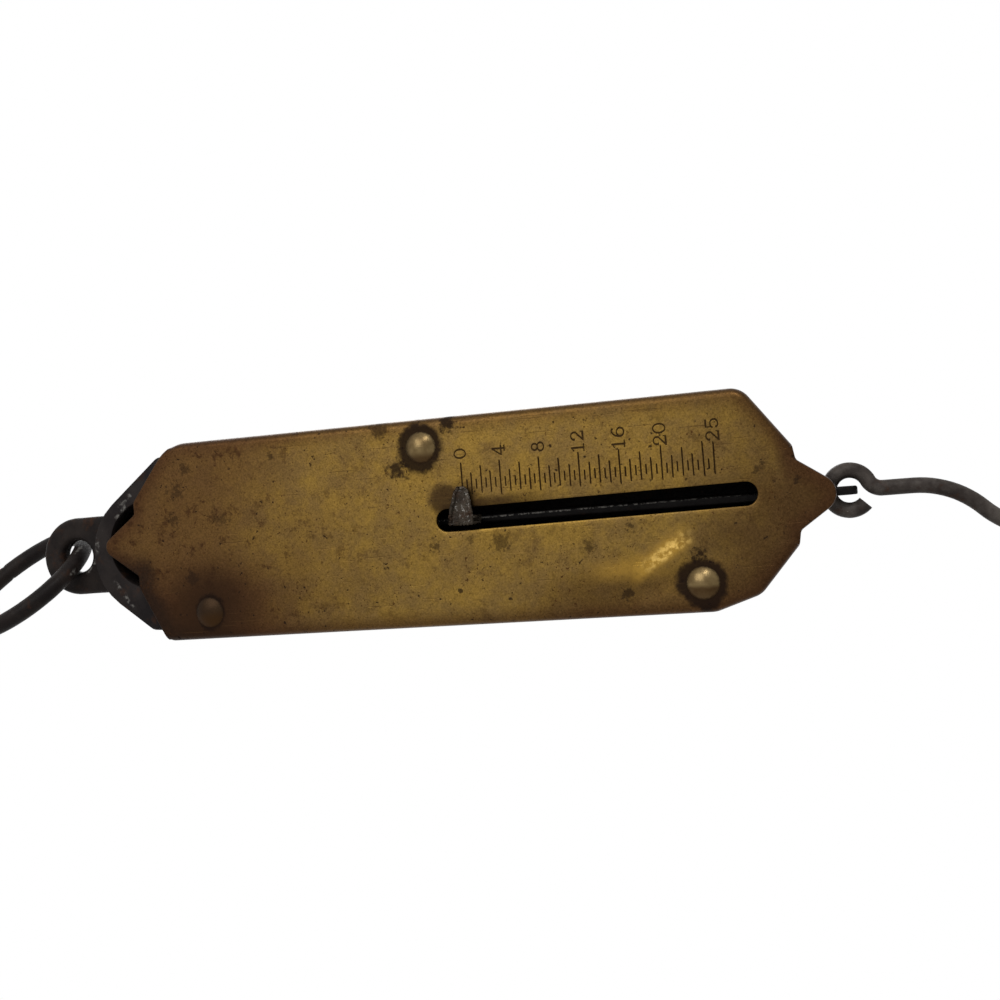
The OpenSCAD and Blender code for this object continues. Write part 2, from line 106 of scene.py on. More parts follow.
# %% Node helpers
class Field:
    """The result of a node, to be used in sums and products like a number"""
    def __init__(self, socket):
        self.socket, self.tree = socket, socket.id_data

    __add__ = __radd__ = lambda a, b: calc("ADD", a, b)
    __mul__ = __rmul__ = lambda a, b: calc("MULTIPLY", a, b)
    __sub__ = lambda a, b: calc("SUBTRACT", a, b)
    __rsub__ = lambda a, b: calc("SUBTRACT", b, a)
    __rtruediv__ = lambda a, b: calc("DIVIDE", b, a)
    __mod__ = lambda a, b: calc("MODULO", a, b)
    __or__ = lambda a, b: calc("MAXIMUM", a, b)
    __abs__ = lambda a: calc("ABSOLUTE", a)

    def step(self, low, high, to_low=0.0, to_high=1.0):
        """A soft step between low and high"""
        return field(self.tree, "ShaderNodeMapRange",
                     {"Value": self, "From Min": low, "From Max": high, "To Min": to_low,
                      "To Max": to_high}, interpolation_type="SMOOTHSTEP")


def feed(node, inputs):
    """Links each input that is given as a field or a socket, and sets any other"""
    for name, value in inputs.items():
        value = getattr(value, "socket", value)
        if isinstance(value, bpy.types.NodeSocket):
            node.id_data.links.new(value, node.inputs[name])
        else:
            node.inputs[name].default_value = value


def put(tree, kind, inputs=None, **settings):
    """A new node with its settings and inputs"""
    node = tree.nodes.new(kind)
    for name, value in settings.items():
        setattr(node, name, value)
    feed(node, inputs or {})
    return node


def field(tree, kind, inputs=None, output=0, **settings):
    """One output of a new node"""
    return Field(put(tree, kind, inputs, **settings).outputs[output])


def calc(operation, a, b=0.0):
    """The result of one Math node"""
    tree = (a if isinstance(a, Field) else b).tree
    return field(tree, "ShaderNodeMath", {0: a, 1: b}, operation=operation)


def vec(operation, a, b=(0, 0, 0)):
    """The result of one Vector Math node. A SCALE takes a number as b"""
    tree = (a if isinstance(a, Field) else b).tree
    output = "Value" if operation in ("LENGTH", "DISTANCE", "DOT_PRODUCT") else "Vector"
    return field(tree, "ShaderNodeVectorMath", {0: a, "Scale" if operation == "SCALE" else 1: b},
                 output, operation=operation)


def axis_of(where, axis):
    """One coordinate of a vector"""
    return field(where.tree, "ShaderNodeSeparateXYZ", {"Vector": where}, axis)


def largest(fields):
    """The largest of several fields"""
    total, *others = fields
    for other in others:
        total = total | other
    return total


def speckle(where, size, detail, rough, seed):
    """Noise whose features are about size across"""
    return field(where.tree, "ShaderNodeTexNoise",
                 {"Vector": where, "Scale": 1 / size, "Detail": detail, "Roughness": rough,
                  "W": seed}, "Fac", noise_dimensions="4D")


def linear(screen):
    """A color written as screen values from 0 to 255, in linear light"""
    return tuple((c / 255 / 12.92) if c <= 10 else ((c / 255 + 0.055) / 1.055) ** 2.4
                 for c in screen)


def mix(share, a, b, mode="MIX"):
    """Color a with b laid over it by the share. Colors are fields or screen values"""
    tree = (share if isinstance(share, Field) else a).tree
    a, b = (c if isinstance(c, Field) else (*linear(c), 1) for c in (a, b))
    return field(tree, "ShaderNodeMix", {0: share, 6: a, 7: b}, 2, data_type="RGBA",
                 blend_type=mode)


def paint(skin, *layers):
    """Lays colors over a skin, each by its share"""
    for share, color in layers:
        skin = mix(share, skin, color)
    return skin


def shader_tree(owner):
    """The emptied shader tree of a world or a material"""
    owner.use_nodes = True
    owner.node_tree.nodes.clear()
    return owner.node_tree


# %% [markdown]
# ## White surroundings
# The balance is shown cut out on plain white. The world is white for what the camera and the metal
# see, and weaker for the light that it sheds, so that the lamps give the forms some shade.

# %% World
def seen(tree):
    """1 for what the camera sees, also by way of metal, and 0 for the light that is shed"""
    path = put(tree, "ShaderNodeLightPath").outputs
    return Field(path["Is Camera Ray"]) | path["Is Glossy Ray"] | path["Is Transmission Ray"]


ROOM_LIGHT = 0.42
world = bpy.data.worlds.new("white_room")
bpy.context.scene.world = world
tree = shader_tree(world)
shade = put(tree, "ShaderNodeBackground", {
    "Color": (1, 1, 1, 1), "Strength": seen(tree) * (1 - ROOM_LIGHT) + ROOM_LIGHT})
put(tree, "ShaderNodeOutputWorld", {"Surface": shade.outputs[0]})
print("the room sheds", ROOM_LIGHT, "of full white")

# %% [markdown]
# ## Floor
# A pale round floor lies lower than the drawn hook comes. It fades to the white of the room at its
# rim, so that no edge shows, and it keeps the shadow.

# %% Floor
FLOOR_R, FLOOR_DROP, MIDDLE = 0.34, 0.06, (0.009, 0.0, -0.105)
bpy.ops.mesh.primitive_circle_add(vertices=96, radius=FLOOR_R, fill_type="TRIFAN",
                                  location=(MIDDLE[0], 0.0, CAD_BOX[0].z - FLOOR_DROP))
floor = bpy.context.object
floor.name = "floor"
pale = bpy.data.materials.new("pale_floor")
tree = shader_tree(pale)
out = vec("LENGTH", field(tree, "ShaderNodeTexCoord", output="Object"))
whiten = seen(tree) * out.step(FLOOR_R * 0.3, FLOOR_R * 0.97, 0.55, 1.0)
matt = put(tree, "ShaderNodeBsdfDiffuse", {"Color": (0.86, 0.86, 0.85, 1)})
glow = put(tree, "ShaderNodeEmission", {"Color": (1, 1, 1, 1), "Strength": 1.0})
both = put(tree, "ShaderNodeMixShader", {0: whiten, 1: matt.outputs[0], 2: glow.outputs[0]})
put(tree, "ShaderNodeOutputMaterial", {"Surface": both.outputs[0]})
floor.data.materials.append(pale)

# %% [markdown]
# ## Lamps
# Soft lamps at a plain level. A wide one lights the face, a smaller one nearer to the lower end
# gives the domes and the dented brass their glints, and one behind lights the back.

# %% Lamps
def lamp(name, at, toward, size, watts):
    """A square soft lamp"""
    light = bpy.data.lights.new(name, "AREA")
    light.size = size
    light.energy = watts
    holder = add_object(name, light)
    holder.location = at
    holder.rotation_euler = (Vector(toward) - Vector(at)).to_track_quat("-Z", "Y").to_euler()


lamp("face_lamp", (0.30, -0.47, 0.06), MIDDLE, 0.36, 1.1)
lamp("glint_lamp", (0.42, -0.30, -0.25), MIDDLE, 0.12, 0.7)
lamp("back_lamp", (0.30, 0.50, 0.15), MIDDLE, 0.5, 2.2)
print("three lamps")

# %% [markdown]
# ## Geometry Nodes for drawn wire
# Ring, hook and spring are bent from round wire. One tree sweeps a circle along a path and then
# makes its surface slightly uneven, only ever inwards, so that the wire never grows past its gauge.
# A share on each point of the path narrows the wire, for the rounded end of the hook.

# %% Wire tree
def open_tree(name, **inputs):
    """A tree for a modifier, whose inputs are named by kind, and a function that gives them"""
    tree = bpy.data.node_groups.new(name, "GeometryNodeTree")
    tree.is_modifier = True
    add = tree.interface.new_socket
    add("Geometry", in_out="INPUT", socket_type="NodeSocketGeometry")
    for kind, labels in inputs.items():
        for label in labels.split():
            add(label, in_out="INPUT", socket_type="NodeSocket" + kind)
    add("Geometry", in_out="OUTPUT", socket_type="NodeSocketGeometry")
    given = put(tree, "NodeGroupInput")
    return tree, lambda label="Geometry": Field(given.outputs[label])


def uneven(shape, given, amount="Unevenness", grain="Grain"):
    """Draws a surface in along its normal by up to twice the amount, in features of the grain"""
    where = field(shape.tree, "GeometryNodeInputPosition")
    depth = speckle(where, given(grain), 4.0, 0.6, given("Seed")) * -2.0 * given(amount)
    offset = vec("SCALE", field(shape.tree, "GeometryNodeInputNormal"), depth)
    return field(shape.tree, "GeometryNodeSetPosition", {"Geometry": shape, "Offset": offset})


def close_tree(shape, given):
    """Ends a tree as the export needs it: real geometry, smooth, with its material"""
    shape = field(shape.tree, "GeometryNodeRealizeInstances", {"Geometry": shape})
    shape = field(shape.tree, "GeometryNodeSetShadeSmooth", {"Geometry": shape})
    shape = field(shape.tree, "GeometryNodeSetMaterial", {"Geometry": shape,
                                                          "Material": given("Finish")})
    put(shape.tree, "NodeGroupOutput", {"Geometry": shape})


wire_tree, given = open_tree("drawn_wire", Float="Radius Unevenness Grain", Int="Sides Seed",
                             Material="Finish")
line = field(wire_tree, "GeometryNodeMeshToCurve", {"Mesh": given()})
share = field(wire_tree, "GeometryNodeInputNamedAttribute", {"Name": "share"}, data_type="FLOAT")
circle = field(wire_tree, "GeometryNodeCurvePrimitiveCircle", {
    "Resolution": given("Sides"), "Radius": given("Radius")})
sweep = field(wire_tree, "GeometryNodeCurveToMesh", {
    "Curve": line, "Profile Curve": circle, "Scale": share, "Fill Caps": True})
close_tree(uneven(sweep, given), given)
print("the wire tree has", len(wire_tree.nodes), "nodes")

# %% [markdown]
# ## Each tree is run once and its result kept as a plain mesh.
# The export keeps plain meshes only, so each tree is run once and its result kept.

# %% Running a tree
def piece(name, points, edges=(), faces=()):
    """A new mesh object from points in mm"""
    mesh = bpy.data.meshes.new(name)
    mesh.from_pydata([Vector(p) * MM for p in points], [tuple(e) for e in edges],
                     [tuple(f) for f in faces])
    return add_object(name, mesh)


def modify(target, kind, **settings):
    """Adds a modifier with its settings"""
    modifier = target.modifiers.new(kind.lower(), kind)
    for name, value in settings.items():
        setattr(modifier, name, value)
    return modifier


def run_tree(target, tree, **values):
    """Adds the tree to an object as a modifier, with its inputs set by identifier"""
    modifier = modify(target, "NODES", node_group=tree)
    for item in tree.interface.items_tree:
        if item.item_type == "SOCKET" and item.in_out == "INPUT" and item.name in values:
            modifier[item.identifier] = values[item.name]


def keep_result(target, crease=None):
    """Replaces an object's mesh by what its modifiers make of it, and removes them"""
    bpy.context.view_layer.update()
    ready = target.evaluated_get(bpy.context.evaluated_depsgraph_get())
    result = bpy.data.meshes.new_from_object(ready)
    target.modifiers.clear()
    target.data = result
    result.name = target.name
    if crease:
        result.shade_smooth()
        result.set_sharp_from_angle(angle=radians(crease))
    print(target.name, "has", sum(len(f.vertices) - 2 for f in result.polygons), "triangles")
    return target


def edit_mesh(target, work):
    """Changes an object's mesh by a function of its BMesh"""
    bm = bmesh.new()
    bm.from_mesh(target.data)
    work(bm)
    bm.to_mesh(target.data)
    bm.free()


def join_points(bm):
    bmesh.ops.remove_doubles(bm, verts=bm.verts, dist=1e-7)


def turn_outward(bm):
    bmesh.ops.recalc_face_normals(bm, faces=bm.faces)


def keep_values(target, name, values, domain="POINT"):
    """Keeps a value on each point or face of an object, for its tree or its material"""
    target.data.attributes.new(name, "FLOAT", domain).data.foreach_set("value", values)


# %% [markdown]
# ## Steel finishes
# Old plain steel is never one grey: a brown-black skin of oxide, lighter where hands and neighbours
# rub it, with rust in patches and fine pits. One recipe covers all the steel pieces, and each takes
# its own tones. Noise on the object's coordinates gives the skin, and a bump the pits.

# %% Steel recipe
def start_material(name):
    """A material with a Principled shader, and the object's coordinates in mm"""
    material = bpy.data.materials.new(name)
    tree = shader_tree(material)
    shader = put(tree, "ShaderNodeBsdfPrincipled")
    put(tree, "ShaderNodeOutputMaterial", {"Surface": shader.outputs[0]})
    return material, shader, vec("SCALE", field(tree, "ShaderNodeTexCoord", output="Object"), 1000)


def finish(shader, inputs, height, depth):
    """Gives a shader its inputs, and a bump of depth mm from a height of 0 to 1"""
    bump = field(shader.id_data, "ShaderNodeBump",
                 {"Height": height, "Distance": depth * MM, "Strength": 1.0})
    feed(shader, {**inputs, "Normal": bump})


RUST, WORN_AND_GLINT, STEEL_SHEEN, BRASS_SHEEN = (62, 40, 27), (150, 146, 140), 0.07, 0.05


def steel(name, dark, pale, rust, worn, gloss, pits, seed, bright=None):
    """Oxidised steel: dark and pale tones, a share of rust, and a share of worn metal. Bright is a
    function that adds painted glints: bright metal that stands in for highlights, partly worn"""
    material, shader, where = start_material(name)
    patches = speckle(where, 5.0, 4, 0.6, seed)
    grain = speckle(where, 0.55, 5, 0.7, seed + 3)
    rusty = speckle(where, 3.2, 5, 0.65, seed + 7).step(0.62 - rust * 0.3, 0.8 - rust * 0.2)
    wear_and_glints = (grain + patches * 0.35).step(0.93 - worn * 0.35, 1.02 - worn * 0.3)
    # painted glints, where given, join the worn metal
    if bright:
        wear_and_glints = wear_and_glints | bright(where, grain)
    skin = paint(mix(patches.step(0.35, 0.7), dark, pale), (rusty * 0.75, RUST), (wear_and_glints, WORN_AND_GLINT))
    rough = grain.step(0.3, 0.7, gloss - 0.08, gloss + 0.12) + rusty * 0.2
    finish(shader, {"Base Color": skin, "Metallic": wear_and_glints.step(0.2, 1), "Roughness": rough,
                    "Specular IOR Level": STEEL_SHEEN}, grain + patches * 0.6, pits)
    return material


hook_steel = steel("dull_hook_steel", (44, 38, 35), (84, 78, 73),
                   rust=0.25, worn=0.3, gloss=0.42, pits=0.05, seed=5.0)
spring_steel = steel("spring_wire", (50, 48, 46), (92, 90, 86),
                     rust=0.25, worn=0.3, gloss=0.38, pits=0.02, seed=9.0)
print("two wire finishes")

# %% [markdown]
# ## Where things are in the case
# The drawing of the case is measured from the top tip of the face, which hangs below the eye. The
# same lengths place the pieces here.

# %% Case frame
RING_R, RING_WIRE, RING_LEAN, RING_TURN = 14.4, 3.6, 20, 32
HANG = 2 * RING_R - RING_WIRE / 2
PIVOT_X = HANG * sin(radians(RING_LEAN))
EYE_SHIFT = 1.4
CASE_X = PIVOT_X + EYE_SHIFT
PIVOT_Z = -HANG * cos(radians(RING_LEAN))
EYE_Z = PIVOT_Z - 0.5
TIP_Z = EYE_Z - 10.8
CASE_W, CASE_LEN, CASE_DEPTH = 38.0, 138.3, 15.8
FACE_Y = -CASE_DEPTH / 2
BRASS_T, STEEL_T = 0.9, 0.8


def in_case(x, y, z):
    """A point measured from the face's top tip, in the frame, in mm"""
    return (x + CASE_X, y, z + TIP_Z)


print("the top tip hangs at", round(CASE_X, 3), round(TIP_Z, 3), "mm")

# %% [markdown]
# Painted glints: short stretches of bright metal stand in for highlights, partly where the steel
# rubs on its neighbours. Each is the distance to a short line between two places, broken by noise.

# %% Glints on steel
def glinting(lines, wide, front_y=100.0):
    """A function for steel's bright: glints on short lines [x, d, x, d], measured from the tip,
    where the steel lies in front of front_y"""
    def bright(where, grain):
        flat, near_lines = vec("MULTIPLY", where, (1, 0, 1)), []
        for x0, d0, x1, d1 in lines:
            along = Vector((x1 - x0, 0, d0 - d1))
            start = vec("SUBTRACT", flat, (CASE_X + x0, 0, TIP_Z - d0))
            share = vec("DOT_PRODUCT", start, along / along.length_squared)
            share = calc("MINIMUM", share | 0.0, 1.0)
            off = vec("DISTANCE", start, vec("SCALE", along, share))
            near_lines.append((off + (grain - 0.5) * 1.6).step(wide, 0.0))
        broken = speckle(where, 1.1, 5, 0.7, 81.0).step(0.44, 0.62, 0.0, 0.5)
        return largest(near_lines) * axis_of(where, "Y").step(front_y, front_y - 0.4) * broken
    return bright


# painted glints at the eye stand in for highlights on the ring's wire, partly worn metal
ring_steel = steel("dark_ring_steel", (22, 18, 17), (38, 32, 29),
                   rust=0.3, worn=0.1, gloss=0.42, pits=0.06, seed=1.0, bright=glinting(
                       [(-0.5, -10.8, 1.6, -10.8), (-4.7, -9.6, -2.7, -8.6)], 0.45))
print("the ring's steel glints on two lines at the eye")

# %% [markdown]
# ## Ring
# The ring is one turn of 3.6 mm wire, threaded through the eye and closed with a fine seam. Its
# path is a circle that leans to one side and is turned a little, as in the photograph.

# %% Ring
def around(axis, angle, point):
    """The point turned about an axis through the origin"""
    return Matrix.Rotation(radians(angle), 3, axis) @ Vector(point)


RING_POINTS, SEAM = 160, 22
ring_path, ring_share = [], []
for i in range(RING_POINTS):
    a = 2 * pi * i / RING_POINTS
    p = around("Z", -RING_TURN, (0, RING_R * sin(a), RING_R * (1 + cos(a))))
    ring_path.append(around("Y", -RING_LEAN, p) + Vector((PIVOT_X, 0, PIVOT_Z)))
    ring_share.append(0.93 if i == SEAM else 1.0)


def wire(name, path, shares, closed, radius, metal, sides, amount, grain, seed):
    """A wire along the path, in mm"""
    links = [(i, i + 1) for i in range(len(path) - 1)] + ([(len(path) - 1, 0)] if closed else [])
    made = piece(name, path, links)
    keep_values(made, "share", shares)
    run_tree(made, wire_tree, Radius=radius * MM, Sides=sides, Unevenness=amount * MM,
             Grain=grain * MM, Seed=seed, Finish=metal)
    return keep_result(made)


ring = wire("ring", ring_path, ring_share, True, RING_WIRE / 2, ring_steel,
            sides=28, amount=0.05, grain=2.5, seed=3)
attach(ring, "ring")
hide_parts("hanging_ring")

# %% [markdown]
# ## Hook
# The hook is bent cold from 2.8 mm wire: an eye through the bar's hole, a short shank, the bowl
# that carries the load, and a tip bent out so that the load slips on. The path is a row of arcs.

# %% Hook
HOOK_WIRE, HOOK_EYE_R, BOWL_R, NECK_R, HOOK_SLACK = 2.8, 3.45, 9.0, 2.5, 0.02
HOOK_PIN_Z = -CASE_LEN + 1.45 - 0.42 + 0.2


def arc(cx, cz, r, start, sweep):
    """Points of an arc about a centre, a step every 4 degrees"""
    n = max(2, ceil(abs(sweep) / 4))
    return [(cx + r * cos(radians(start + sweep * i / n)),
             cz + r * sin(radians(start + sweep * i / n))) for i in range(n + 1)]


eye_z0 = HOOK_PIN_Z - HOOK_EYE_R
reach = NECK_R + HOOK_EYE_R
lean = degrees(asin(NECK_R / reach))
neck_z = eye_z0 - reach * cos(radians(lean))
BEND, TIP_TURN, TIP_R, SHANK = 45, 42, 7.0, 5.0
bend_r = BOWL_R / 2 / (1 - cos(radians(BEND)))
bend_z = neck_z - SHANK
bowl_z = bend_z - 2 * bend_r * sin(radians(BEND))
hook_line = (arc(0, eye_z0, HOOK_EYE_R, 228, lean - 228 - 90)
             + arc(NECK_R, neck_z, NECK_R, 90 + lean, 90 - lean)[1:]
             + arc(-bend_r, bend_z, bend_r, 0, -BEND)
             + arc(bend_r - BOWL_R, bowl_z, bend_r, 180 - BEND, BEND)[1:]
             + arc(0, bowl_z, BOWL_R, 180, 180)[1:]
             + arc(BOWL_R + TIP_R, bowl_z, TIP_R, 180, -TIP_TURN)[1:])
way = (Vector(hook_line[-1]) - Vector(hook_line[-2])).normalized()
end = Vector(hook_line[-1])
hook_share = [1.0] * len(hook_line)
for along in (0.25, 0.5, 0.7, 0.85, 0.95, 1.0):
    hook_line.append(tuple(end + way * HOOK_WIRE / 2 * along))
    hook_share.append(sqrt(max(1 - along * along, 0.01)))
hook = wire("load_hook", [in_case(x, 0, z) for x, z in hook_line], hook_share, False,
            HOOK_WIRE / 2 - HOOK_SLACK, hook_steel, sides=24, amount=0.035, grain=2.2, seed=5)
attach(hook, "hook")
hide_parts("hook")

# %% [markdown]
# ## Spring
# The spring is a long close coil in tension. Its end turns open out and sit in notches of the
# anchor above and of the bar below.

# %% Spring
WIRE_D, COIL_R, TURNS, COIL_GAP, END_PITCH, END_TURNS, FIRST = 1.65, 5.7, 23.5, 0.45, 3.0, 2.2, -45
SPRING_Z = -9.475


def drop(t):
    """How far the wire has come down after t turns"""
    open_turns = min(t, END_TURNS) + max(t - TURNS + END_TURNS, 0)
    return END_PITCH * open_turns + (WIRE_D + COIL_GAP) * (t - open_turns)


STEPS = 28
turned = [radians(FIRST + 360 * i / STEPS) for i in range(int(STEPS * TURNS) + 1)]
coil = [(COIL_R * cos(a), COIL_R * sin(a), SPRING_Z - drop(i / STEPS))
        for i, a in enumerate(turned)]
first, last = turned[0], turned[-1]
coil.insert(0, tuple(Vector(coil[0]) + WIRE_D * Vector((sin(first), -cos(first), 0))))
coil.append(tuple(Vector(coil[-1]) + WIRE_D * Vector((-sin(last), cos(last), 0))))
spring = wire("spring", [in_case(*p) for p in coil], [1.0] * len(coil), False, WIRE_D / 2,
              spring_steel, sides=10, amount=0.0, grain=2.0, seed=7)
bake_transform(spring)
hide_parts("coil_spring")

# %% [markdown]
# ## Forged and sheared steel
# Anchor, bar and pointer are small forgings with soft edges and a skin beaten by age. Each is a
# copy of the exact part, remeshed in fine even faces, smoothed a little and pitted by a tree.

# %% Forge tree
forge_tree, given = open_tree("forged_skin", Float="Unevenness Grain Pits Fineness",
                              Int="Seed", Material="Finish")
close_tree(uneven(uneven(given(), given), given, "Pits", "Fineness"), given)


def merged_copy(node, name):
    """A copy of an exact part with its loose triangles joined"""
    made = add_object(name, NODES[node].data.copy())
    edit_mesh(made, join_points)
    made.data.materials.clear()
    return made


def forged(node, name, metal, voxel, soften, amount, grain, pits, fineness, seed):
    """The exact part as a forging. Lengths are in mm"""
    made = merged_copy(node, name)
    modify(made, "REMESH", mode="VOXEL", voxel_size=voxel * MM)
    modify(made, "SMOOTH", iterations=soften)
    run_tree(made, forge_tree, Unevenness=amount * MM, Grain=grain * MM, Pits=pits * MM,
             Fineness=fineness * MM, Seed=seed, Finish=metal)
    return keep_result(made)


# %% [markdown]
# The anchor is the forged flat eye that the ring hangs in. One painted glint, partly metal worn
# bright, lies where the ring rubs on its eye.

# %% Anchor
anchor_steel = steel("forged_anchor_steel", (24, 20, 19), (41, 35, 32), rust=0.35, worn=0.12,
                     gloss=0.45, pits=0.07, seed=13.0,
                     # painted glint on the eye, partly worn metal
                     bright=glinting([(-4.8, -8.6, -2.5, -6.3)], 0.45))
anchor = forged("top_anchor", "anchor", anchor_steel, voxel=0.24, soften=5, amount=0.05,
                grain=3.0, pits=0.02, fineness=0.8, seed=2)
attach(anchor, "case")
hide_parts("top_anchor")

# %% [markdown]
# The bar's front edge runs in the slot. A thin painted highlight lies along it, partly metal that
# years of wiping keep bright. A place along the edge, broken up by noise, adds that to the steel
# recipe.

# %% Bar and pointer
LINE_TOP_Z, LINE_LEAN = -107.0, 0.0095


def front_edge_highlight(where, grain):
    """A share of 1 on a thin line of the bar's front, broken by the grain: a painted highlight,
    partly worn metal
    """
    waving = axis_of(where, "X") + (grain - 0.5) * 0.5
    below_slot_top = (axis_of(where, "Z") - LINE_TOP_Z) * -LINE_LEAN
    off = abs(waving - below_slot_top - (CASE_X + 0.2))
    line = off.step(0.22, 0.05) * below_slot_top.step(0.2, 0.5, 0.6, 0.3)
    return line * axis_of(where, "Y").step(-3.2, -3.4) * grain.step(0.43, 0.6)


bar_steel = steel("bar_steel", (11, 9, 9), (24, 21, 20),
                  rust=0.15, worn=0.0, gloss=0.5, pits=0.05, seed=17.0, bright=front_edge_highlight)
bar = forged("draw_bar", "bar", bar_steel, voxel=0.22, soften=3, amount=0.03, grain=2.0,
             pits=0.03, fineness=0.6, seed=4)
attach(bar, "draw")
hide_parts("draw_bar")

pointer_steel = steel("pitted_pointer_steel", (38, 32, 26), (76, 68, 58),
                      rust=0.4, worn=0.55, gloss=0.38, pits=0.2, seed=21.0)
pointer = forged("pointer", "indicator", pointer_steel, voxel=0.09, soften=6,
                 amount=0.34, grain=1.6, pits=0.24, fineness=0.42, seed=6)
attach(pointer, "draw")
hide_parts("pointer")

# %% [markdown]
# ## Pressed back
# The back is one sheet of steel with a half-round trough, pressed over a form. The exact part is
# right, so a joined copy only gets its sharp edges broken, as pressed and sheared steel has them.

# %% Back
# painted glints on the rim by the tab and along the trough's mouth, partly worn edges
MOUTH_GLINTS = [(-0.8, -2.4, 1.8, -2.2), (5.6, 2.4, 7.7, 4.4), (8.0, 3.0, 9.7, 5.6),
                (-7.0, 0.9, -9.2, 2.8), (-9.8, 3.1, -12.0, 4.6)]
back_steel = steel("pressed_back_steel", (24, 20, 20), (40, 35, 33),
                   rust=0.35, worn=0.14, gloss=0.45, pits=0.06, seed=25.0,
                   bright=glinting(MOUTH_GLINTS, 0.6, -6.2))
back = merged_copy("back_shell", "back")
edit_mesh(back, lambda bm: bmesh.ops.dissolve_limit(
    bm, angle_limit=radians(1.0), verts=bm.verts, edges=bm.edges))
modify(back, "BEVEL", width=0.16 * MM, segments=2, limit_method="ANGLE",
       angle_limit=radians(50))
back.data.materials.append(back_steel)
keep_result(back, 35)
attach(back, "case")
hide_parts("back_shell")

# %% [markdown]
# ## Outline of the face
# The face is a long hexagon of brass with a pointed tab at each end. Its sides and lower shoulders
# are turned back round the steel. Each corner is [x, z, radius, share]: the share says how much of
# the turned edge that side takes, so that the cut edges stay flat.

# %% Face outline
TOP_TAB, LOW_TAB, TAB_W, SHOULDER_W = 6.7, 6.6, 12.0, 16.8
TOP_SLOPE, TOP_SLOPE_LEFT, LOW_SLOPE, TAB_STEP = 8.3, 5.3, 7.8, 0.4
LIP, EDGE_R = 2.1, 1.5


def tab_apex(w, h, r):
    """Where a tab's two flanks would meet above its rounded tip"""
    flank = atan2(w / 2, h - r) - asin(r / hypot(w / 2, h - r))
    return w / 2 / tan(flank) - h


LOW = -CASE_LEN + LOW_TAB
HALF_W = CASE_W / 2
CORNERS = [
    (0, tab_apex(TAB_W, TOP_TAB, 2.1), 2.1, 0.2), (-TAB_W / 2, -TOP_TAB, 0.6, 0.2),
    (-SHOULDER_W / 2, -TOP_TAB, 1.2, 0.2), (-HALF_W, -TOP_TAB - TOP_SLOPE_LEFT, 1.8, 1),
    (-HALF_W, LOW + LOW_SLOPE + 6.9, 4, 1), (-HALF_W + 2.6, LOW + LOW_SLOPE - 0.9, 4, 1),
    (-SHOULDER_W / 2, LOW, 1.6, 0.99),
    (-TAB_W / 2, LOW - TAB_STEP, 1.2, 0.2),
    (0, -CASE_LEN - tab_apex(TAB_W, LOW_TAB - TAB_STEP, 3.2), 3.2, 0.2),
    (TAB_W / 2, LOW - TAB_STEP, 1.2, 0.99), (SHOULDER_W / 2, LOW, 1.6, 1),
    (HALF_W, LOW + LOW_SLOPE, 4, 1), (HALF_W, -TOP_TAB - TOP_SLOPE, 7, 0.2),
    (SHOULDER_W / 2, -TOP_TAB, 1.2, 0.2), (TAB_W / 2, -TOP_TAB, 0.6, 0.2)]


def outline(corners, d, fine=6.0, longest=1.4):
    """The rounded outline drawn in by d, as rows of x, z, share. The rows don't change with d"""
    at = [np.array(c[:2], float) for c in corners]
    radii, shares, n = [c[2] for c in corners], [c[3] for c in corners], len(corners)
    unit = lambda v: v / np.linalg.norm(v)
    wrap = lambda a: (a + 180) % 360 - 180
    angle = lambda v: degrees(atan2(v[1], v[0]))
    ahead = [at[(i + 1) % n] - at[i] for i in range(n)]
    inward = [np.array([-e[1], e[0]]) for e in map(unit, ahead)]
    drawn, rows, full = [], [], []
    for i in range(n):
        a, b, da, db = inward[i - 1], inward[i], d * shares[i - 1], d * shares[i]
        c = float(a @ b)
        drawn.append(at[i] + ((da - c * db) * a + (db - c * da) * b) / (1 - c * c))
    for i, p in enumerate(drawn):
        bend = wrap(angle(ahead[i]) - angle(ahead[i - 1]))
        inner = d * min(shares[i - 1], shares[i])
        r = max(radii[i] - inner, 0.4) if bend > 0 else radii[i] + inner
        u, v = unit(drawn[i - 1] - p), unit(drawn[(i + 1) % n] - p)
        half = acos(max(-1, min(1, float(u @ v)))) / 2
        centre = p + unit(u + v) * r / sin(half)
        start, stop = (angle(p + side * r / tan(half) - centre) for side in (u, v))
        steps = max(2, ceil(abs(bend) / fine))
        for k in range(steps + 1):
            t = radians(start + wrap(stop - start) * k / steps)
            rows.append((*(centre + r * np.array([cos(t), sin(t)])),
                         shares[i - 1] if 2 * k < steps else shares[i], i))
    for (x, z, share, i), (next_x, next_z, _, j) in zip(rows, rows[1:] + rows[:1]):
        cuts = 1 if i == j else max(1, ceil(float(np.linalg.norm(at[j] - at[i])) / longest))
        full += [(x + (next_x - x) * t, z + (next_z - z) * t, share)
                 for t in (k / cuts for k in range(cuts))]
    return np.array(full)


rim = outline(CORNERS, 0)
print("the outline has", len(rim), "points and spans", np.ptp(rim[:, :2], 0).round(2), "mm")

# %% [markdown]
# ## Dents
# Sheet brass that was carried for a century isn't flat. A slow noise makes it waver a little, and
# placed dents follow the real ones, above all the long one near the lower rivet.

# %% Dents
# Each dent: x, distance below the tip, half length across, half length along, turn, depth in mm
DENTS = [(-9.2, 110.0, 1.7, 9.0, 22, -0.16), (-13.0, 107.5, 3.0, 11.0, 22, 0.42),
         (-3.0, 92.0, 5.0, 7.0, 0, 0.05),
         (9.0, 50.0, 6.0, 9.0, 10, 0.06), (-8.0, 40.0, 7.0, 8.0, 0, 0.05),
         (14.0, 105.0, 4.0, 6.0, 0, 0.05), (0.0, 20.0, 7.0, 6.0, 0, 0.05)]


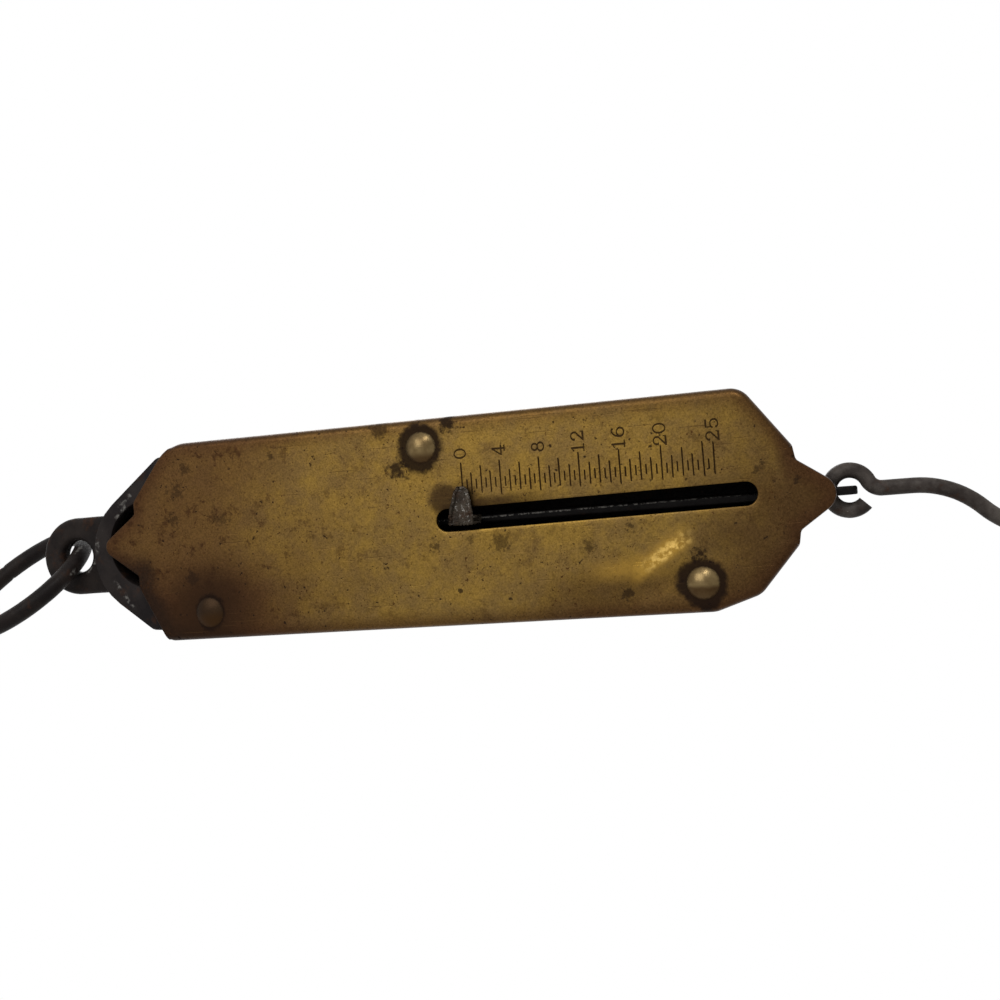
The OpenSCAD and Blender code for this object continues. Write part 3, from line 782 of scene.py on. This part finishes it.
def waver(x, z):
    """How far the sheet lies behind its plane, in mm, at points x, z measured from the tip"""
    x, z = np.asarray(x, float), np.asarray(z, float)
    sag = np.array([0.045 * noise.noise(Vector((a / 11, b / 13, 3.1)))
                    + 0.014 * noise.noise(Vector((a / 4, b / 4.5, 8.2))) for a, b in zip(x, z)])
    sag += 0.02
    for dx, dd, rx, rz, turned, deep in DENTS:
        t = radians(turned)
        u, v = x - dx, z + dd
        p, q = u * cos(t) + v * sin(t), -u * sin(t) + v * cos(t)
        sag += deep * np.exp(-(p / rx) ** 2 - (q / rz) ** 2)
    return sag


# %% [markdown]
# ## Numbers of the scale
# The scale's numbers were struck with single punches in a plain face with thin and heavy strokes.
# Each digit is a few strokes, a stroke a row of x, y and half width in digit heights. The distance
# to the nearest stroke gives the depth of the strike, so the letters get soft walls.

# %% Digits
THIN, HEAVY = 0.036, 0.066


def curl(cx, cy, rx, ry, start, end):
    """An arc of a digit, heavy where it runs upright"""
    n = max(6, int(abs(end - start) / 12))
    turns = [radians(start + (end - start) * i / n) for i in range(n + 1)]
    return [(cx + rx * cos(t), cy + ry * sin(t), THIN + (HEAVY - THIN) * cos(t) ** 2)
            for t in turns]


# A row of five numbers is a straight stroke from x, y to x, y, and one of six is a curl
DIGITS = {
    "0": [(0.4, 0.5, 0.33, 0.45, 0, 360)],
    "1": [(0.42, 0.04, 0.42, 0.95, HEAVY), (0.16, 0.04, 0.68, 0.04, THIN),
          (0.18, 0.80, 0.42, 0.95, THIN)],
    "2": [(0.40, 0.70, 0.28, 0.26, 170, -30), (0.64, 0.57, 0.11, 0.07, THIN * 1.3),
          (0.10, 0.06, 0.70, 0.06, HEAVY * 0.9), (0.70, 0.06, 0.73, 0.22, THIN),
          (0.13, 0.72, 0.15, 0.72, HEAVY)],
    "4": [(0.52, 0.96, 0.06, 0.30, THIN * 1.2), (0.06, 0.30, 0.78, 0.30, THIN * 1.2),
          (0.55, 0.96, 0.55, 0.04, HEAVY), (0.34, 0.04, 0.76, 0.04, THIN)],
    "5": [(0.18, 0.93, 0.66, 0.93, HEAVY * 0.9), (0.18, 0.93, 0.14, 0.50, THIN),
          (0.39, 0.33, 0.31, 0.28, 150, -145), (0.14, 0.18, 0.16, 0.18, HEAVY)],
    "6": [(0.41, 0.30, 0.31, 0.27, 0, 360), (0.53, 0.40, 0.43, 0.55, 195, 75),
          (0.63, 0.88, 0.65, 0.88, HEAVY)],
    "8": [(0.40, 0.74, 0.24, 0.22, 0, 360), (0.40, 0.28, 0.31, 0.25, 0, 360)]}
NUMBERS = [("0", 0), ("4", 4), ("8", 8), ("12", 12), ("16", 16), ("20", 20), ("25", 25)]
ZERO_D, POUND, DIGIT_H, DIGIT_STEP = 73.7, 1.8, 2.35, 2.12
strokes, digit_boxes = [], []
for text, pounds in NUMBERS:
    wide = DIGIT_STEP * (len(text) - 1) + 0.8 * DIGIT_H
    x0 = (12.0 if len(text) == 1 else 12.2) - wide / 2
    z0 = -ZERO_D - POUND * pounds - DIGIT_H / 2
    for k, digit in enumerate(text):
        left = x0 + k * DIGIT_STEP
        digit_boxes.append((left, z0))
        for row in DIGITS[digit]:
            path = curl(*row) if len(row) == 6 else [(*row[:2], row[4]), row[2:]]
            for (xa, ya, wa), (xb, yb, wb) in zip(path, path[1:]):
                strokes.append((left + xa * DIGIT_H, z0 + ya * DIGIT_H, wa * DIGIT_H,
                                left + xb * DIGIT_H, z0 + yb * DIGIT_H, wb * DIGIT_H))
strokes = np.array(strokes)
print(len(digit_boxes), "digits of", len(strokes), "strokes")


def from_strokes(x, z, rows=strokes):
    """Distance in mm from each point to the nearest stroke's edge, negative inside"""
    best = np.full(len(x), 99.0)
    for xa, za, wa, xb, zb, wb in rows:
        ux, uz = xb - xa, zb - za
        t = np.clip(((x - xa) * ux + (z - za) * uz) / (ux * ux + uz * uz), 0, 1)
        best = np.minimum(best, np.hypot(x - xa - ux * t, z - za - uz * t) - wa - (wb - wa) * t)
    return best


# %% [markdown]
# ## The brass sheet
# The front is a flat net of triangles with the slot and the rivet holes left out. A Delaunay net
# takes any outline and can be dense only where the digits are struck. Rings of the outline then
# carry it round the edge, and a second, coarser net closes the inside.

# %% Face net
SLOT_W, SLOT_LEN, SLOT_TOP, HOLE_R, SLIVER = 4.1, 57.2, 68.3, 1.25, 2e-5
# How far the slot lies to the side at its hook end and at its ring end
SLOT_LEAN = (0.9, 0.2)
# Each rivet: x, z, and the share of the full height that its dome has
RIVETS = [(-13.8, -21.5, 0.6), (13.8, -66.4, 1.0), (-13.8, 23.1 - CASE_LEN, 1.0)]
CRUD_REACH = (3.3, 4.5, 4.5)


def slot_ring(d, n=20):
    """The slot's outline, widened by d. It was punched a little askew"""
    r = SLOT_W / 2
    low, high = -SLOT_TOP - SLOT_LEN + r, -SLOT_TOP - r
    half = [(cos(pi * i / n), sin(pi * i / n)) for i in range(n + 1)]
    wide, long, sides = r + d, high - low, int((high - low) / 1.2)
    ring = np.array([(wide * c, high + wide * s) for c, s in half]
                    + [(-wide, high - long * i / sides) for i in range(1, sides)]
                    + [(-wide * c, low - wide * s) for c, s in half]
                    + [(wide, low + long * i / sides) for i in range(1, sides)])
    ring[:, 0] += np.interp(ring[:, 1], (low - r, high + r), SLOT_LEAN)
    return ring


def hole_ring(x, z, r, n=28):
    return np.array([(x + r * cos(2 * pi * i / n), z + r * sin(2 * pi * i / n))
                     for i in range(n)])


def inside(polygon, points):
    """Which points lie inside a polygon"""
    x, z = points[:, 0], points[:, 1]
    within = np.zeros(len(points), bool)
    for (xa, za), (xb, zb) in zip(polygon, np.roll(polygon, -1, 0)):
        cross = (za > z) != (zb > z)
        with np.errstate(divide="ignore", invalid="ignore"):
            within ^= cross & (x < (xb - xa) * (z - za) / (zb - za) + xa)
    return within


def far_from(ring, points, gap):
    """Which points keep the gap to all of a ring's points"""
    keep = np.ones(len(points), bool)
    for p in ring:
        keep &= np.hypot(*(points - p).T) > gap
    return keep


def grid_over(low, high, spacing):
    """Points of an even grid between two corners"""
    gx, gz = np.meshgrid(*(np.arange(a, b, spacing) for a, b in zip(low, high)))
    return np.stack([gx.ravel(), gz.ravel()], 1)


def net(border, holes, spacing, extra=None, seed=4):
    """Triangles over the border without the holes: points and faces. The rings come first"""
    rng = np.random.default_rng(seed)
    grid = grid_over(border.min(0), border.max(0), spacing)
    grid += (rng.random(grid.shape) - 0.5) * spacing * 0.3
    keep = inside(border, grid) & far_from(border, grid, spacing * 0.6)
    for ring in holes:
        keep &= ~inside(ring, grid) & far_from(ring, grid, spacing * 0.5)
    if extra is not None:
        keep &= from_strokes(*grid.T) > 0.5
    edges, start = [], 0
    for n in map(len, [border, *holes]):
        edges += [(start + i, start + (i + 1) % n) for i in range(n)]
        start += n
    points = np.vstack([border, *holes, grid[keep], *([] if extra is None else [extra])])
    found = geometry.delaunay_2d_cdt([Vector(p) for p in points], edges, [], 0, 1e-7)
    if len(found[0]) != len(points):
        raise ValueError(f"the net has {len(found[0])} points for {len(points)}")
    order = [origins[0] for origins in found[3]]
    faces = np.array([[order[i] for i in f] for f in found[2]])
    middle = points[faces].mean(1)
    u, v = (points[faces[:, k]] - points[faces[:, 0]] for k in (1, 2))
    keep = inside(border, middle) & (np.abs(u[:, 0] * v[:, 1] - u[:, 1] * v[:, 0]) > SLIVER)
    for ring in holes:
        keep &= ~inside(ring, middle)
    return points, faces[keep]


DOT = 0.075
dense = np.vstack([
    grid_over((x - 0.1, z - 0.12), (x + 0.8 * DIGIT_H + 0.1, z + DIGIT_H + 0.12), DOT)
    for x, z in digit_boxes])
dense = dense[from_strokes(*dense.T) < 0.2]
dense = dense[np.unique(np.round(dense / (DOT * 0.6)).astype(int), axis=0, return_index=True)[1]]
front_border = outline(CORNERS, EDGE_R)[:, :2]
front_holes = [slot_ring(0.3)] + [hole_ring(x, z, HOLE_R + 0.05) for x, z, _ in RIVETS]
front, front_faces = net(front_border, front_holes, 1.15, dense)
print("the front net has", len(front), "points and", len(front_faces), "triangles")

# %% [markdown]
# The rings of the edge go from the front's border round the bend to the lip and back along the
# inside. A cut edge takes the same rings, pressed into the sheet's thickness.

# %% Face sheet
def edge_bend(r, angles, backwards):
    """Rows of inset, depth, and whether the row lies inside, on the edge's bend of radius r"""
    return [(EDGE_R - r * cos(a), EDGE_R - r * sin(a), backwards) for a in map(radians, angles)]


SECTION = [*edge_bend(EDGE_R, range(78, -1, -13), False),
           (0.0, LIP - 0.12, False), (0.08, LIP, False), (BRASS_T - 0.08, LIP, False),
           (BRASS_T, LIP - 0.12, True), *edge_bend(EDGE_R - BRASS_T, range(0, 91, 30), True)]


def pressed(depth, backwards, share):
    """The depth of a point of the section: a cut edge has only the sheet's thickness"""
    return depth if share == 1 else BRASS_T if backwards else depth * BRASS_T / LIP


vertices, faces = [], []


def add_points(rows):
    """Adds rows of x, depth, z and returns where they start"""
    start = len(vertices)
    vertices.extend(map(tuple, rows))
    return start


def add_wall(ring_a, ring_b, n):
    """Quads between two rings of n points"""
    faces.extend((ring_a + i, ring_a + (i + 1) % n, ring_b + (i + 1) % n, ring_b + i)
                 for i in range(n))


edge_gap = from_strokes(front[:, 0], front[:, 1])
strike = np.clip((0.03 - edge_gap) / 0.10, 0, 1)
strike = 0.13 * strike * strike * (3 - 2 * strike)
front_start = add_points([(x, s, z) for (x, z), s in zip(front, strike)])
faces.extend(tuple(front_start + i for i in f) for f in front_faces)
n = len(front_border)
before = front_start
for inset, depth, backwards in SECTION:
    ring = add_points([(x, pressed(depth, backwards, share), z)
                       for x, z, share in outline(CORNERS, inset)])
    add_wall(before, ring, n)
    before = ring
back_holes = [slot_ring(0.0)] + front_holes[1:]
inner, inner_faces = net(outline(CORNERS, EDGE_R)[:, :2], back_holes, 2.6, seed=9)
inner_start = add_points([(x, BRASS_T, z) for x, z in inner])
faces.extend(tuple(inner_start + i for i in reversed(f)) for f in inner_faces)
start = n
for k, ring in enumerate(front_holes):
    size, above = len(ring), front_start + start
    for d, depth in ([(0.16, 0.03), (0.05, 0.10), (0.0, 0.22)] if k == 0 else []):
        lower = add_points([(x, depth, z) for x, z in slot_ring(d)])
        add_wall(above, lower, size)
        above = lower
    add_wall(above, inner_start + start, size)
    start += size
sheet = np.array(vertices)
sheet[:, 1] += FACE_Y + waver(sheet[:, 0], sheet[:, 2])
face = piece("face", [in_case(*p) for p in sheet], faces=faces)
edit_mesh(face, join_points)
edit_mesh(face, turn_outward)
edit_mesh(face, lambda bm: print("the sheet has", len(bm.verts), "points and",
                                 sum(not e.is_manifold for e in bm.edges), "open edges"))

# %% [markdown]
# ## Marks of the scale
# A mark stands at every half pound: long at each fourth pound, shorter at the second, at the odd
# pounds and at the halves. That is a rule, so a tree sets out a wedge on each point of a line, with
# its length taken from its index, and the wedges are cut from the brass as the graver did.

# %% Marks tree
marks_tree, given = open_tree("scale_marks", Int="Marks Seed", Float="Pitch Wander",
                              Vector="First", Object="Wedge", Material="Finish")
index = field(marks_tree, "GeometryNodeInputIndex")


def switch(share, otherwise, value):
    """The value where the share is 1, or else the other"""
    return field(marks_tree, "GeometryNodeSwitch", {"Switch": share, "False": otherwise,
                                                    "True": value}, input_type="FLOAT")


def by_rank(halves, odd, second, fourth):
    """A value for half pounds, odd pounds, second pounds and fourth pounds"""
    value = halves
    for count, other in ((2.0, odd), (4.0, second), (8.0, fourth)):
        value = switch(calc("LESS_THAN", index % count, 0.5), value, other)
    return value


def xyz(tree, **parts):
    return field(tree, "ShaderNodeCombineXYZ", parts)


starts, lengths = by_rank(0.0055, 0.0046, 0.0047, 0.0043), by_rank(0.0018, 0.0039, 0.0050, 0.0061)
lengths = switch(calc("COMPARE", index, 50.0), lengths, 0.0056)
row = field(marks_tree, "GeometryNodeMeshLine", {
    "Count": given("Marks"), "Start Location": given("First"),
    "Offset": xyz(marks_tree, Z=given("Pitch") * -1.0)}, mode="OFFSET")
jitter = [field(marks_tree, "FunctionNodeRandomValue", {
    "Min": (-1, -1, -1), "Max": (1, 1, 1), "ID": index, "Seed": given("Seed") + k},
    data_type="FLOAT_VECTOR") for k in (0.0, 5.0)]
away = vec("MULTIPLY", vec("SCALE", jitter[0], given("Wander")), (2.5, 0.0, 1.0))
row = field(marks_tree, "GeometryNodeSetPosition", {
    "Geometry": row, "Offset": vec("ADD", away, xyz(marks_tree, X=starts))})
wedge_in = field(marks_tree, "GeometryNodeObjectInfo", {
    "Object": given("Wedge"), "As Instance": True}, "Geometry")
cut = field(marks_tree, "GeometryNodeInstanceOnPoints", {
    "Points": row, "Instance": wedge_in, "Rotation": vec("MULTIPLY", jitter[1], (0.0, 0.012, 0.0)),
    "Scale": xyz(marks_tree, X=lengths, Y=1.0, Z=1.0)})
close_tree(cut, given)

# %% [markdown]
# The wedge is made one metre long, and the tree scales it to each mark's length. All marks are cut
# at once, and the grooves' faces are told apart by their material.

# %% Cutting the marks
MARK_W, MARK_DEEP, CLEAR = 0.15, 0.17, 0.35
groove_marker = bpy.data.materials.new("groove")
half_top = MARK_W * (MARK_DEEP + CLEAR) / MARK_DEEP
profile = [(-CLEAR, -half_top), (-CLEAR, half_top), (MARK_DEEP, 0.0)]


def build_wedge(bm):
    """Four rows of three points, the outer ones smaller, with walls between them"""
    rows = [[bm.verts.new((x, y * MM, z * MM * k)) for y, z in profile]
            for x, k in ((0.0, 0.55), (0.05, 1.0), (0.95, 1.0), (1.0, 0.6))]
    for a, b in zip(rows, rows[1:]):
        for i in range(3):
            bm.faces.new((a[i], a[(i + 1) % 3], b[(i + 1) % 3], b[i]))
    bm.faces.new(rows[0])
    bm.faces.new(rows[-1])
    turn_outward(bm)


wedge = piece("wedge", [])
edit_mesh(wedge, build_wedge)
marks = piece("marks", [(0, 0, 0)])
first_mark = Vector(in_case(0, FACE_Y + 0.02, -ZERO_D)) * MM
run_tree(marks, marks_tree, Marks=51, Pitch=POUND / 2 * MM, First=first_mark, Wedge=wedge,
         Wander=0.04 * MM, Seed=2, Finish=groove_marker)
keep_result(marks)
face.data.materials.append(None)
modify(face, "BOOLEAN", operation="DIFFERENCE", object=marks, solver="MANIFOLD",
       material_mode="TRANSFER")
keep_result(face)
print("materials", [m.name if m else None for m in face.data.materials])

# %% [markdown]
# Coordinates don't tell the finish how far a point is from the edge, whether it lies in a struck
# digit, or whether its face is the wall of a mark. The mesh keeps that as attributes.

# %% Face attributes
x, y, z = (np.array([v.co for v in face.data.vertices]) / MM - in_case(0, 0, 0)).T
rim_lines = [(xa, za, 0, xb, zb, 0) for (xa, za, _), (xb, zb, _) in zip(rim, np.roll(rim, -1, 0))]
keep_values(face, "edge", from_strokes(x, z, rim_lines))
struck = np.clip((0.035 - from_strokes(x, z)) / 0.07, 0, 1)
keep_values(face, "digit", struck * (y < FACE_Y + 0.6))
names = [m.name if m else "" for m in face.data.materials]
marked = [float(names[f.material_index] == "groove") for f in face.data.polygons]
keep_values(face, "mark", marked, "FACE")
face.data.polygons.foreach_set("material_index", [0] * len(marked))
print(int(sum(marked)), "faces lie in marks")
for tool in (wedge, marks):
    bpy.data.objects.remove(tool)

# %% [markdown]
# ## Aged brass, with painted shade and highlight
# The face tells its age: golden where it is rubbed, brown at the ring end and along the edges, dark
# crud round the rivets, fine pits and scratches all over. Painted shade darkens the edges, the low
# side and the hook end, and a painted highlight lies on the crest of a dent. The colors are laid
# over each other: bright metal first, then the brown skin and the painted shade, the stains, the
# painted highlight, the dirt in the grooves.

# %% Aged brass and painted shade
def brass_base(name):
    """A material with coordinates in mm from the face's top tip, and its x and distance below"""
    material, shader, where = start_material(name)
    where = vec("SUBTRACT", where, in_case(0, 0, 0))
    return material, shader, where, axis_of(where, "X"), axis_of(where, "Z") * -1.0


def near_point(where, x, d):
    """The distance across the face from a place, in mm"""
    return vec("DISTANCE", vec("MULTIPLY", where, (1, 0, 1)), (x, 0, -d))


def attribute(name):
    return field(where.tree, "ShaderNodeAttribute", output="Fac", attribute_name=name)


GOLD, OLIVE, BROWN, INK = (122, 96, 44), (104, 82, 45), (76, 53, 31), (46, 31, 15)
EDGE_SHADE_BROWN, BLOTCH, CRUD = (58, 36, 23), (52, 33, 19), (25, 14, 8)

aged_brass, shader, where, x_mm, d_mm = brass_base("aged_brass")
soft = speckle(where, 14.0, 3, 0.5, 1.0) - 0.5
mottle, grain = speckle(where, 4.5, 5, 0.62, 2.0), speckle(where, 0.8, 4, 0.65, 3.0)
mottled, grainy = mottle - 0.5, grain - 0.5
d_soft = d_mm + soft * 26.0
x_soft = x_mm + soft * 9.0 + mottled * 4.0
edge_mm = attribute("edge") + mottled * 4.5 + grainy * 1.2
ring_end, hook_end = d_soft.step(62.0, 16.0), d_soft.step(108.0, 128.0)
low_half_shade = x_soft.step(8.0, -1.0, 0.45, 0.92) | d_mm.step(126.0, 131.0, 0.0, 0.92)
low_side_shade = x_soft.step(-8.5, -14.5) * d_mm.step(80.0, 94.0)
low_corner_shade = x_soft.step(1.0, -6.0) * d_mm.step(30.0, 12.0) * edge_mm.step(5.5, 1.5)
skin = paint(mix(mottle.step(0.36, 0.66), GOLD, OLIVE),
             (ring_end * 0.85, BROWN),
             # painted shade: the hook end is darker, most on its low half
             (hook_end * low_half_shade, (66, 47, 27)),
             # painted shade on the low side, below the dent's crest
             (low_side_shade * 0.7, (70, 50, 27)),
             # browner along the edges: patina, and painted shade on the turned edge
             (edge_mm.step(4.2, 0.2) * 0.7, EDGE_SHADE_BROWN),
             # painted shade on the low side of the ring end
             (x_soft.step(-1.0, -12.0) * ring_end * 0.85, EDGE_SHADE_BROWN),
             # painted shade in the low corner at the ring end, near the edge
             (low_corner_shade * 0.9, (36, 26, 20)))
print("the brown skin covers the ring end, the hook end and the edges")

# %% [markdown]
# Damp left flecks and blotches, above all at the ring end, and dirt packed round the rivets and
# beside the pointer's place. Painted shade darkens a wide patch round the rivet near the ring. Each
# stain is the distance from a place, made ragged by noise.

# %% Blotches, flecks, stains and painted shade
blotch = speckle(where, 2.6, 6, 0.72, 61.0).step(0.53, 0.63) * (ring_end * 0.52 + 0.30)
crowd = speckle(where, 7.0, 3, 0.6, 67.0).step(0.40, 0.60, 0.3, 1.0)
flecks = speckle(where, 0.5, 3, 0.6, 71.0).step(0.58, 0.67) * crowd
skin = paint(skin, (blotch, BLOTCH), (flecks * 0.85, (54, 33, 15)))
fine = speckle(where, 0.3, 3, 0.7, 73.0).step(0.28, 0.72, 0.7, 1.26)
skin = mix(1.0, skin, fine, "MULTIPLY")


def ragged(x, d, by_mottle, by_grain=0.0):
    """The distance from a place on the face, made uneven"""
    return near_point(where, x, d) + mottled * by_mottle + grainy * by_grain


# Dark spots: x, distance below the tip, radius, strength
SPOTS = [(-6.5, 96.1, 2.0, 0.6), (-3.0, 103.4, 1.7, 0.7), (-14.9, 101.9, 1.7, 0.8),
         (18.1, 58.5, 2.0, 0.6), (17.8, 71.6, 2.3, 1.0), (10.4, 61.3, 2.3, 1.0),
         (-8.6, 115.0, 2.2, 1.0), (-4.1, 68.0, 1.3, 0.6), (-3.2, 74.0, 1.2, 0.5),
         (-4.7, 80.4, 1.7, 0.6), (13.8, 18.2, 1.7, 0.5), (9.7, 16.4, 1.8, 0.5),
         (4.7, 15.5, 1.4, 0.5), (3.7, 25.0, 1.3, 0.4), (-7.0, 18.3, 1.2, 0.6),
         (14.5, 36.8, 1.0, 0.7), (5.3, 126.2, 1.4, 0.6), (2.2, 132.0, 0.9, 0.7),
         (-12.5, 71.9, 0.35, 0.9), (-14.5, 81.0, 0.45, 0.9), (-16.6, 77.9, 0.4, 0.9),
         (-7.6, 57.9, 0.6, 0.9)]
stain = largest(ragged(x, d, 5.0 * min(size, 1.4), 4.5 * min(size, 1.4)).step(size, size * 0.3)
                * strong for x, d, size, strong in SPOTS)
halo = largest(ragged(x, -z, 4.0, 1.3).step(reach + 0.5, reach - 0.7)
               for (x, z, _), reach in zip(RIVETS, CRUD_REACH))
# painted shade round the rivet near the ring, a wide darker patch
shade_there = ragged(RIVETS[0][0], -RIVETS[0][1], 7.0).step(13.0, 3.0, 0.0, 0.85)
beside_slot = ((x_mm + mottled * 1.6).step(1.4, 2.2) * (x_mm + mottled * 2.0).step(4.8, 3.2)
               * d_mm.step(67.5, 70.0) * d_soft.step(92.0, 76.0))
at_pointer = ragged(4.0, 70.2, 0.0, 2.0).step(3.8, 2.0) | ragged(3.6, 74.0, 3.0).step(4.0, 1.5)
pits = speckle(where, 0.9, 2, 0.5, 11.0).step(0.66, 0.73)
skin = paint(skin, (stain * 0.85, CRUD), (shade_there, (42, 28, 18)), (halo * 0.92, CRUD),
             ((beside_slot | at_pointer * 0.9) * 0.9, (42, 29, 18)), (pits * 0.8, CRUD))

# %% [markdown]
# The dent near the lower rivet has a painted highlight on its crest, partly metal that hands rubbed
# bright. It lies askew, so it is painted in turned coordinates, with painted haze before it and
# broken painted glints on top.

# %% Painted highlight on the crest, and ink
turn, wavy, u, v = radians(33), mottled * 2.0, x_mm + 9.1, 107.8 - d_mm
across = u * cos(turn) + v * sin(turn) + wavy
along = v * cos(turn) - u * sin(turn)
crest_highlight = across.step(-2.2, -0.3) * across.step(3.4, 0.5) * abs(along).step(8.0, 3.0)
highlight_haze = abs(x_mm + 10.6 + wavy).step(3.0, 0.2) * abs(d_mm - 102.5).step(9.5, 1.0) * 0.6
free = (1.0 - halo) * grain.step(0.25, 0.55, 0.5, 1.0)
# painted highlight on the crest and its haze, partly rubbed metal
rubbed_and_highlight = (crest_highlight | highlight_haze) * free
# painted glints: sparkles of highlight on the crest
glints = (across.step(-1.4, -0.4) * across.step(2.0, 0.4) * abs(along + 1.8).step(6.5, 1.0)
          * free * speckle(where, 1.1, 4, 0.6, 91.0).step(0.42, 0.60))
ink = attribute("digit") | attribute("mark")
skin = paint(skin, (rubbed_and_highlight * 0.85, (160, 124, 52)), (glints * 0.85, (224, 186, 104)),
             (ink * 0.9, INK))

# %% [markdown]
# Scratches are noise stretched a hundred times along one direction: only its crests show. They are
# slightly sunk and hold dirt. Roughness follows the dirt.

# %% Scratches and roughness
scratch = largest(
    speckle(field(where.tree, "ShaderNodeMapping", {
        "Vector": where, "Rotation": (0, radians(turned), 0), "Scale": (1.0, 1.0, 0.03)}),
        0.32, 1, 0.4, seed).step(0.72, 0.77)
    for turned, seed in ((12, 31.0), (-28, 37.0), (80, 43.0), (95, 47.0)))
dirt = stain | pits | ink | halo
finish(shader, {
    "Base Color": mix(scratch * 0.45, skin, (62, 44, 24)),
    "Metallic": 0.98 - dirt * 0.8,
    "Roughness": mottled * 0.25 + 0.38 + dirt * 0.2 + ring_end * 0.10 - rubbed_and_highlight * 0.12,
    "Specular IOR Level": BRASS_SHEEN},
    grain * 0.5 - pits * 0.6 - scratch * 0.4 - flecks * 0.4 + stain * 0.5 + mottle * 0.6
    + halo * 0.6, 0.035)
face.data.materials.clear()
face.data.materials.append(aged_brass)
face.data.shade_smooth()
face.data.set_sharp_from_angle(angle=radians(32))
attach(face, "case")
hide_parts("face_plate")

# %% [markdown]
# ## Rivets
# Three rivets hold the face on the back: low domes in front and hammered tails behind. One head and
# one tail are turned as lathe shapes, and a tree sets them on the three places, with the height of
# each dome as a value of its point. The rivet near the ring was driven almost flat.

# %% Rivet shapes
HEAD_R, HEAD_H, SHANK_R, FLANGE_Y = 2.9, 1.3, 1.2, FACE_Y + BRASS_T + STEEL_T


def lathe(name, profile, sides=40):
    """A closed shape turned about the y axis from rows of radius and y, in mm"""
    points, shape, rings = [(0, profile[0][1], 0)], [], len(profile) - 2
    for r, y in profile[1:-1]:
        points += [(x, y, z) for x, z in hole_ring(0, 0, r, sides)]
    points.append((0, profile[-1][1], 0))
    tail_ring = 1 + (rings - 1) * sides
    for i in range(sides):
        j = (i + 1) % sides
        shape.append((0, 1 + i, 1 + j))
        for a in range(1, tail_ring, sides):
            shape.append((a + i, a + sides + i, a + sides + j, a + j))
        shape.append((tail_ring + i, len(points) - 1, tail_ring + j))
    made = piece(name, points, faces=shape)
    edit_mesh(made, turn_outward)
    return made


dome_r = (HEAD_R ** 2 + HEAD_H ** 2) / (2 * HEAD_H)
dome = [(dome_r * sin(t), dome_r - HEAD_H - dome_r * cos(t))
        for t in np.linspace(0, asin(HEAD_R / dome_r), 14)]
head = lathe("rivet_head", [*dome, (HEAD_R - 0.05, 0.06), (SHANK_R, 0.06), (SHANK_R, 0.3),
                            (0, 0.3)])
tail_y = FLANGE_Y - FACE_Y
tail = lathe("rivet_tail", [(0, 0.25), (SHANK_R, 0.25), (SHANK_R, tail_y), (2.0, tail_y),
                            (2.04, tail_y + 0.3), (1.9, tail_y + 0.6), (1.5, tail_y + 0.74),
                            (0, tail_y + 0.78)])

# %% [markdown]
# The tree sets one head and one tail on each place, joins them and makes them slightly uneven.

# %% Rivet tree
rivet_tree, given = open_tree("rivets", Object="Head Tail", Float="Unevenness Grain", Int="Seed",
                              Material="Finish")
rise = field(rivet_tree, "GeometryNodeInputNamedAttribute", {"Name": "rise"}, data_type="FLOAT")
joined = put(rivet_tree, "GeometryNodeJoinGeometry")
for label, scale in (("Head", xyz(rivet_tree, X=1.0, Y=rise, Z=1.0)), ("Tail", (1, 1, 1))):
    shape = field(rivet_tree, "GeometryNodeObjectInfo", {
        "Object": given(label), "As Instance": True}, "Geometry")
    feed(joined, {0: field(rivet_tree, "GeometryNodeInstanceOnPoints", {
        "Points": given(), "Instance": shape, "Scale": scale})})
real = field(rivet_tree, "GeometryNodeRealizeInstances", {"Geometry": joined.outputs[0]})
close_tree(uneven(real, given), given)

# %% [markdown]
# The domes are rubbed pale, with dirt in the corner round each and painted shade on the low side.

# %% Rivet brass
LEE_SHADE_SIDES = ((0.5, -1.5), (-0.6, -2.0), (-0.1, -0.9))
rivet_brass, shader, where, x_mm, d_mm = brass_base("rubbed_rivet_brass")
mottle, grain = speckle(where, 2.2, 4, 0.6, 51.0), speckle(where, 0.5, 4, 0.65, 53.0)
offs = [near_point(where, x, -z) for x, z, _ in RIVETS]
low_dome = offs[0].step(5.0, 4.0)
rim_dirt = largest((off + (grain - 0.5) * 0.9).step(2.5, 2.9) * off.step(4.2, 4.0) for off in offs)
# painted shade on the low side of each dome
lee_shade = largest((x_mm + (mottle - 0.5) * 1.6 - rivet[0]).step(*side) * off.step(4.2, 4.0)
              for rivet, off, side in zip(RIVETS, offs, LEE_SHADE_SIDES))
skin = paint(mix(mottle.step(0.35, 0.65), (118, 100, 68), (95, 78, 51)),
             (low_dome * 0.95, (40, 28, 20)), (rim_dirt * 0.85, CRUD), (lee_shade * 0.8, (54, 36, 19)))
finish(shader, {"Base Color": skin, "Metallic": 0.97 - rim_dirt * 0.7,
                "Roughness": rim_dirt * 0.25 + 0.3 + low_dome * 0.1,
                "Specular IOR Level": BRASS_SHEEN}, grain + mottle, 0.04)

# %% [markdown]
# Each rivet is a point with the height of its dome. The rivet near the ring rises least.

# %% Rivets
rivets = piece("rivets", [in_case(x, FACE_Y, z) for x, z, _ in RIVETS])
keep_values(rivets, "rise", [rise for _, _, rise in RIVETS])
run_tree(rivets, rivet_tree, Head=head, Tail=tail, Unevenness=0.02 * MM, Grain=1.5 * MM, Seed=3,
         Finish=rivet_brass)
keep_result(rivets, 40)
for tool in (head, tail):
    bpy.data.objects.remove(tool)
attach(rivets, "case")
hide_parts("rivet_top", "rivet_middle", "rivet_bottom")
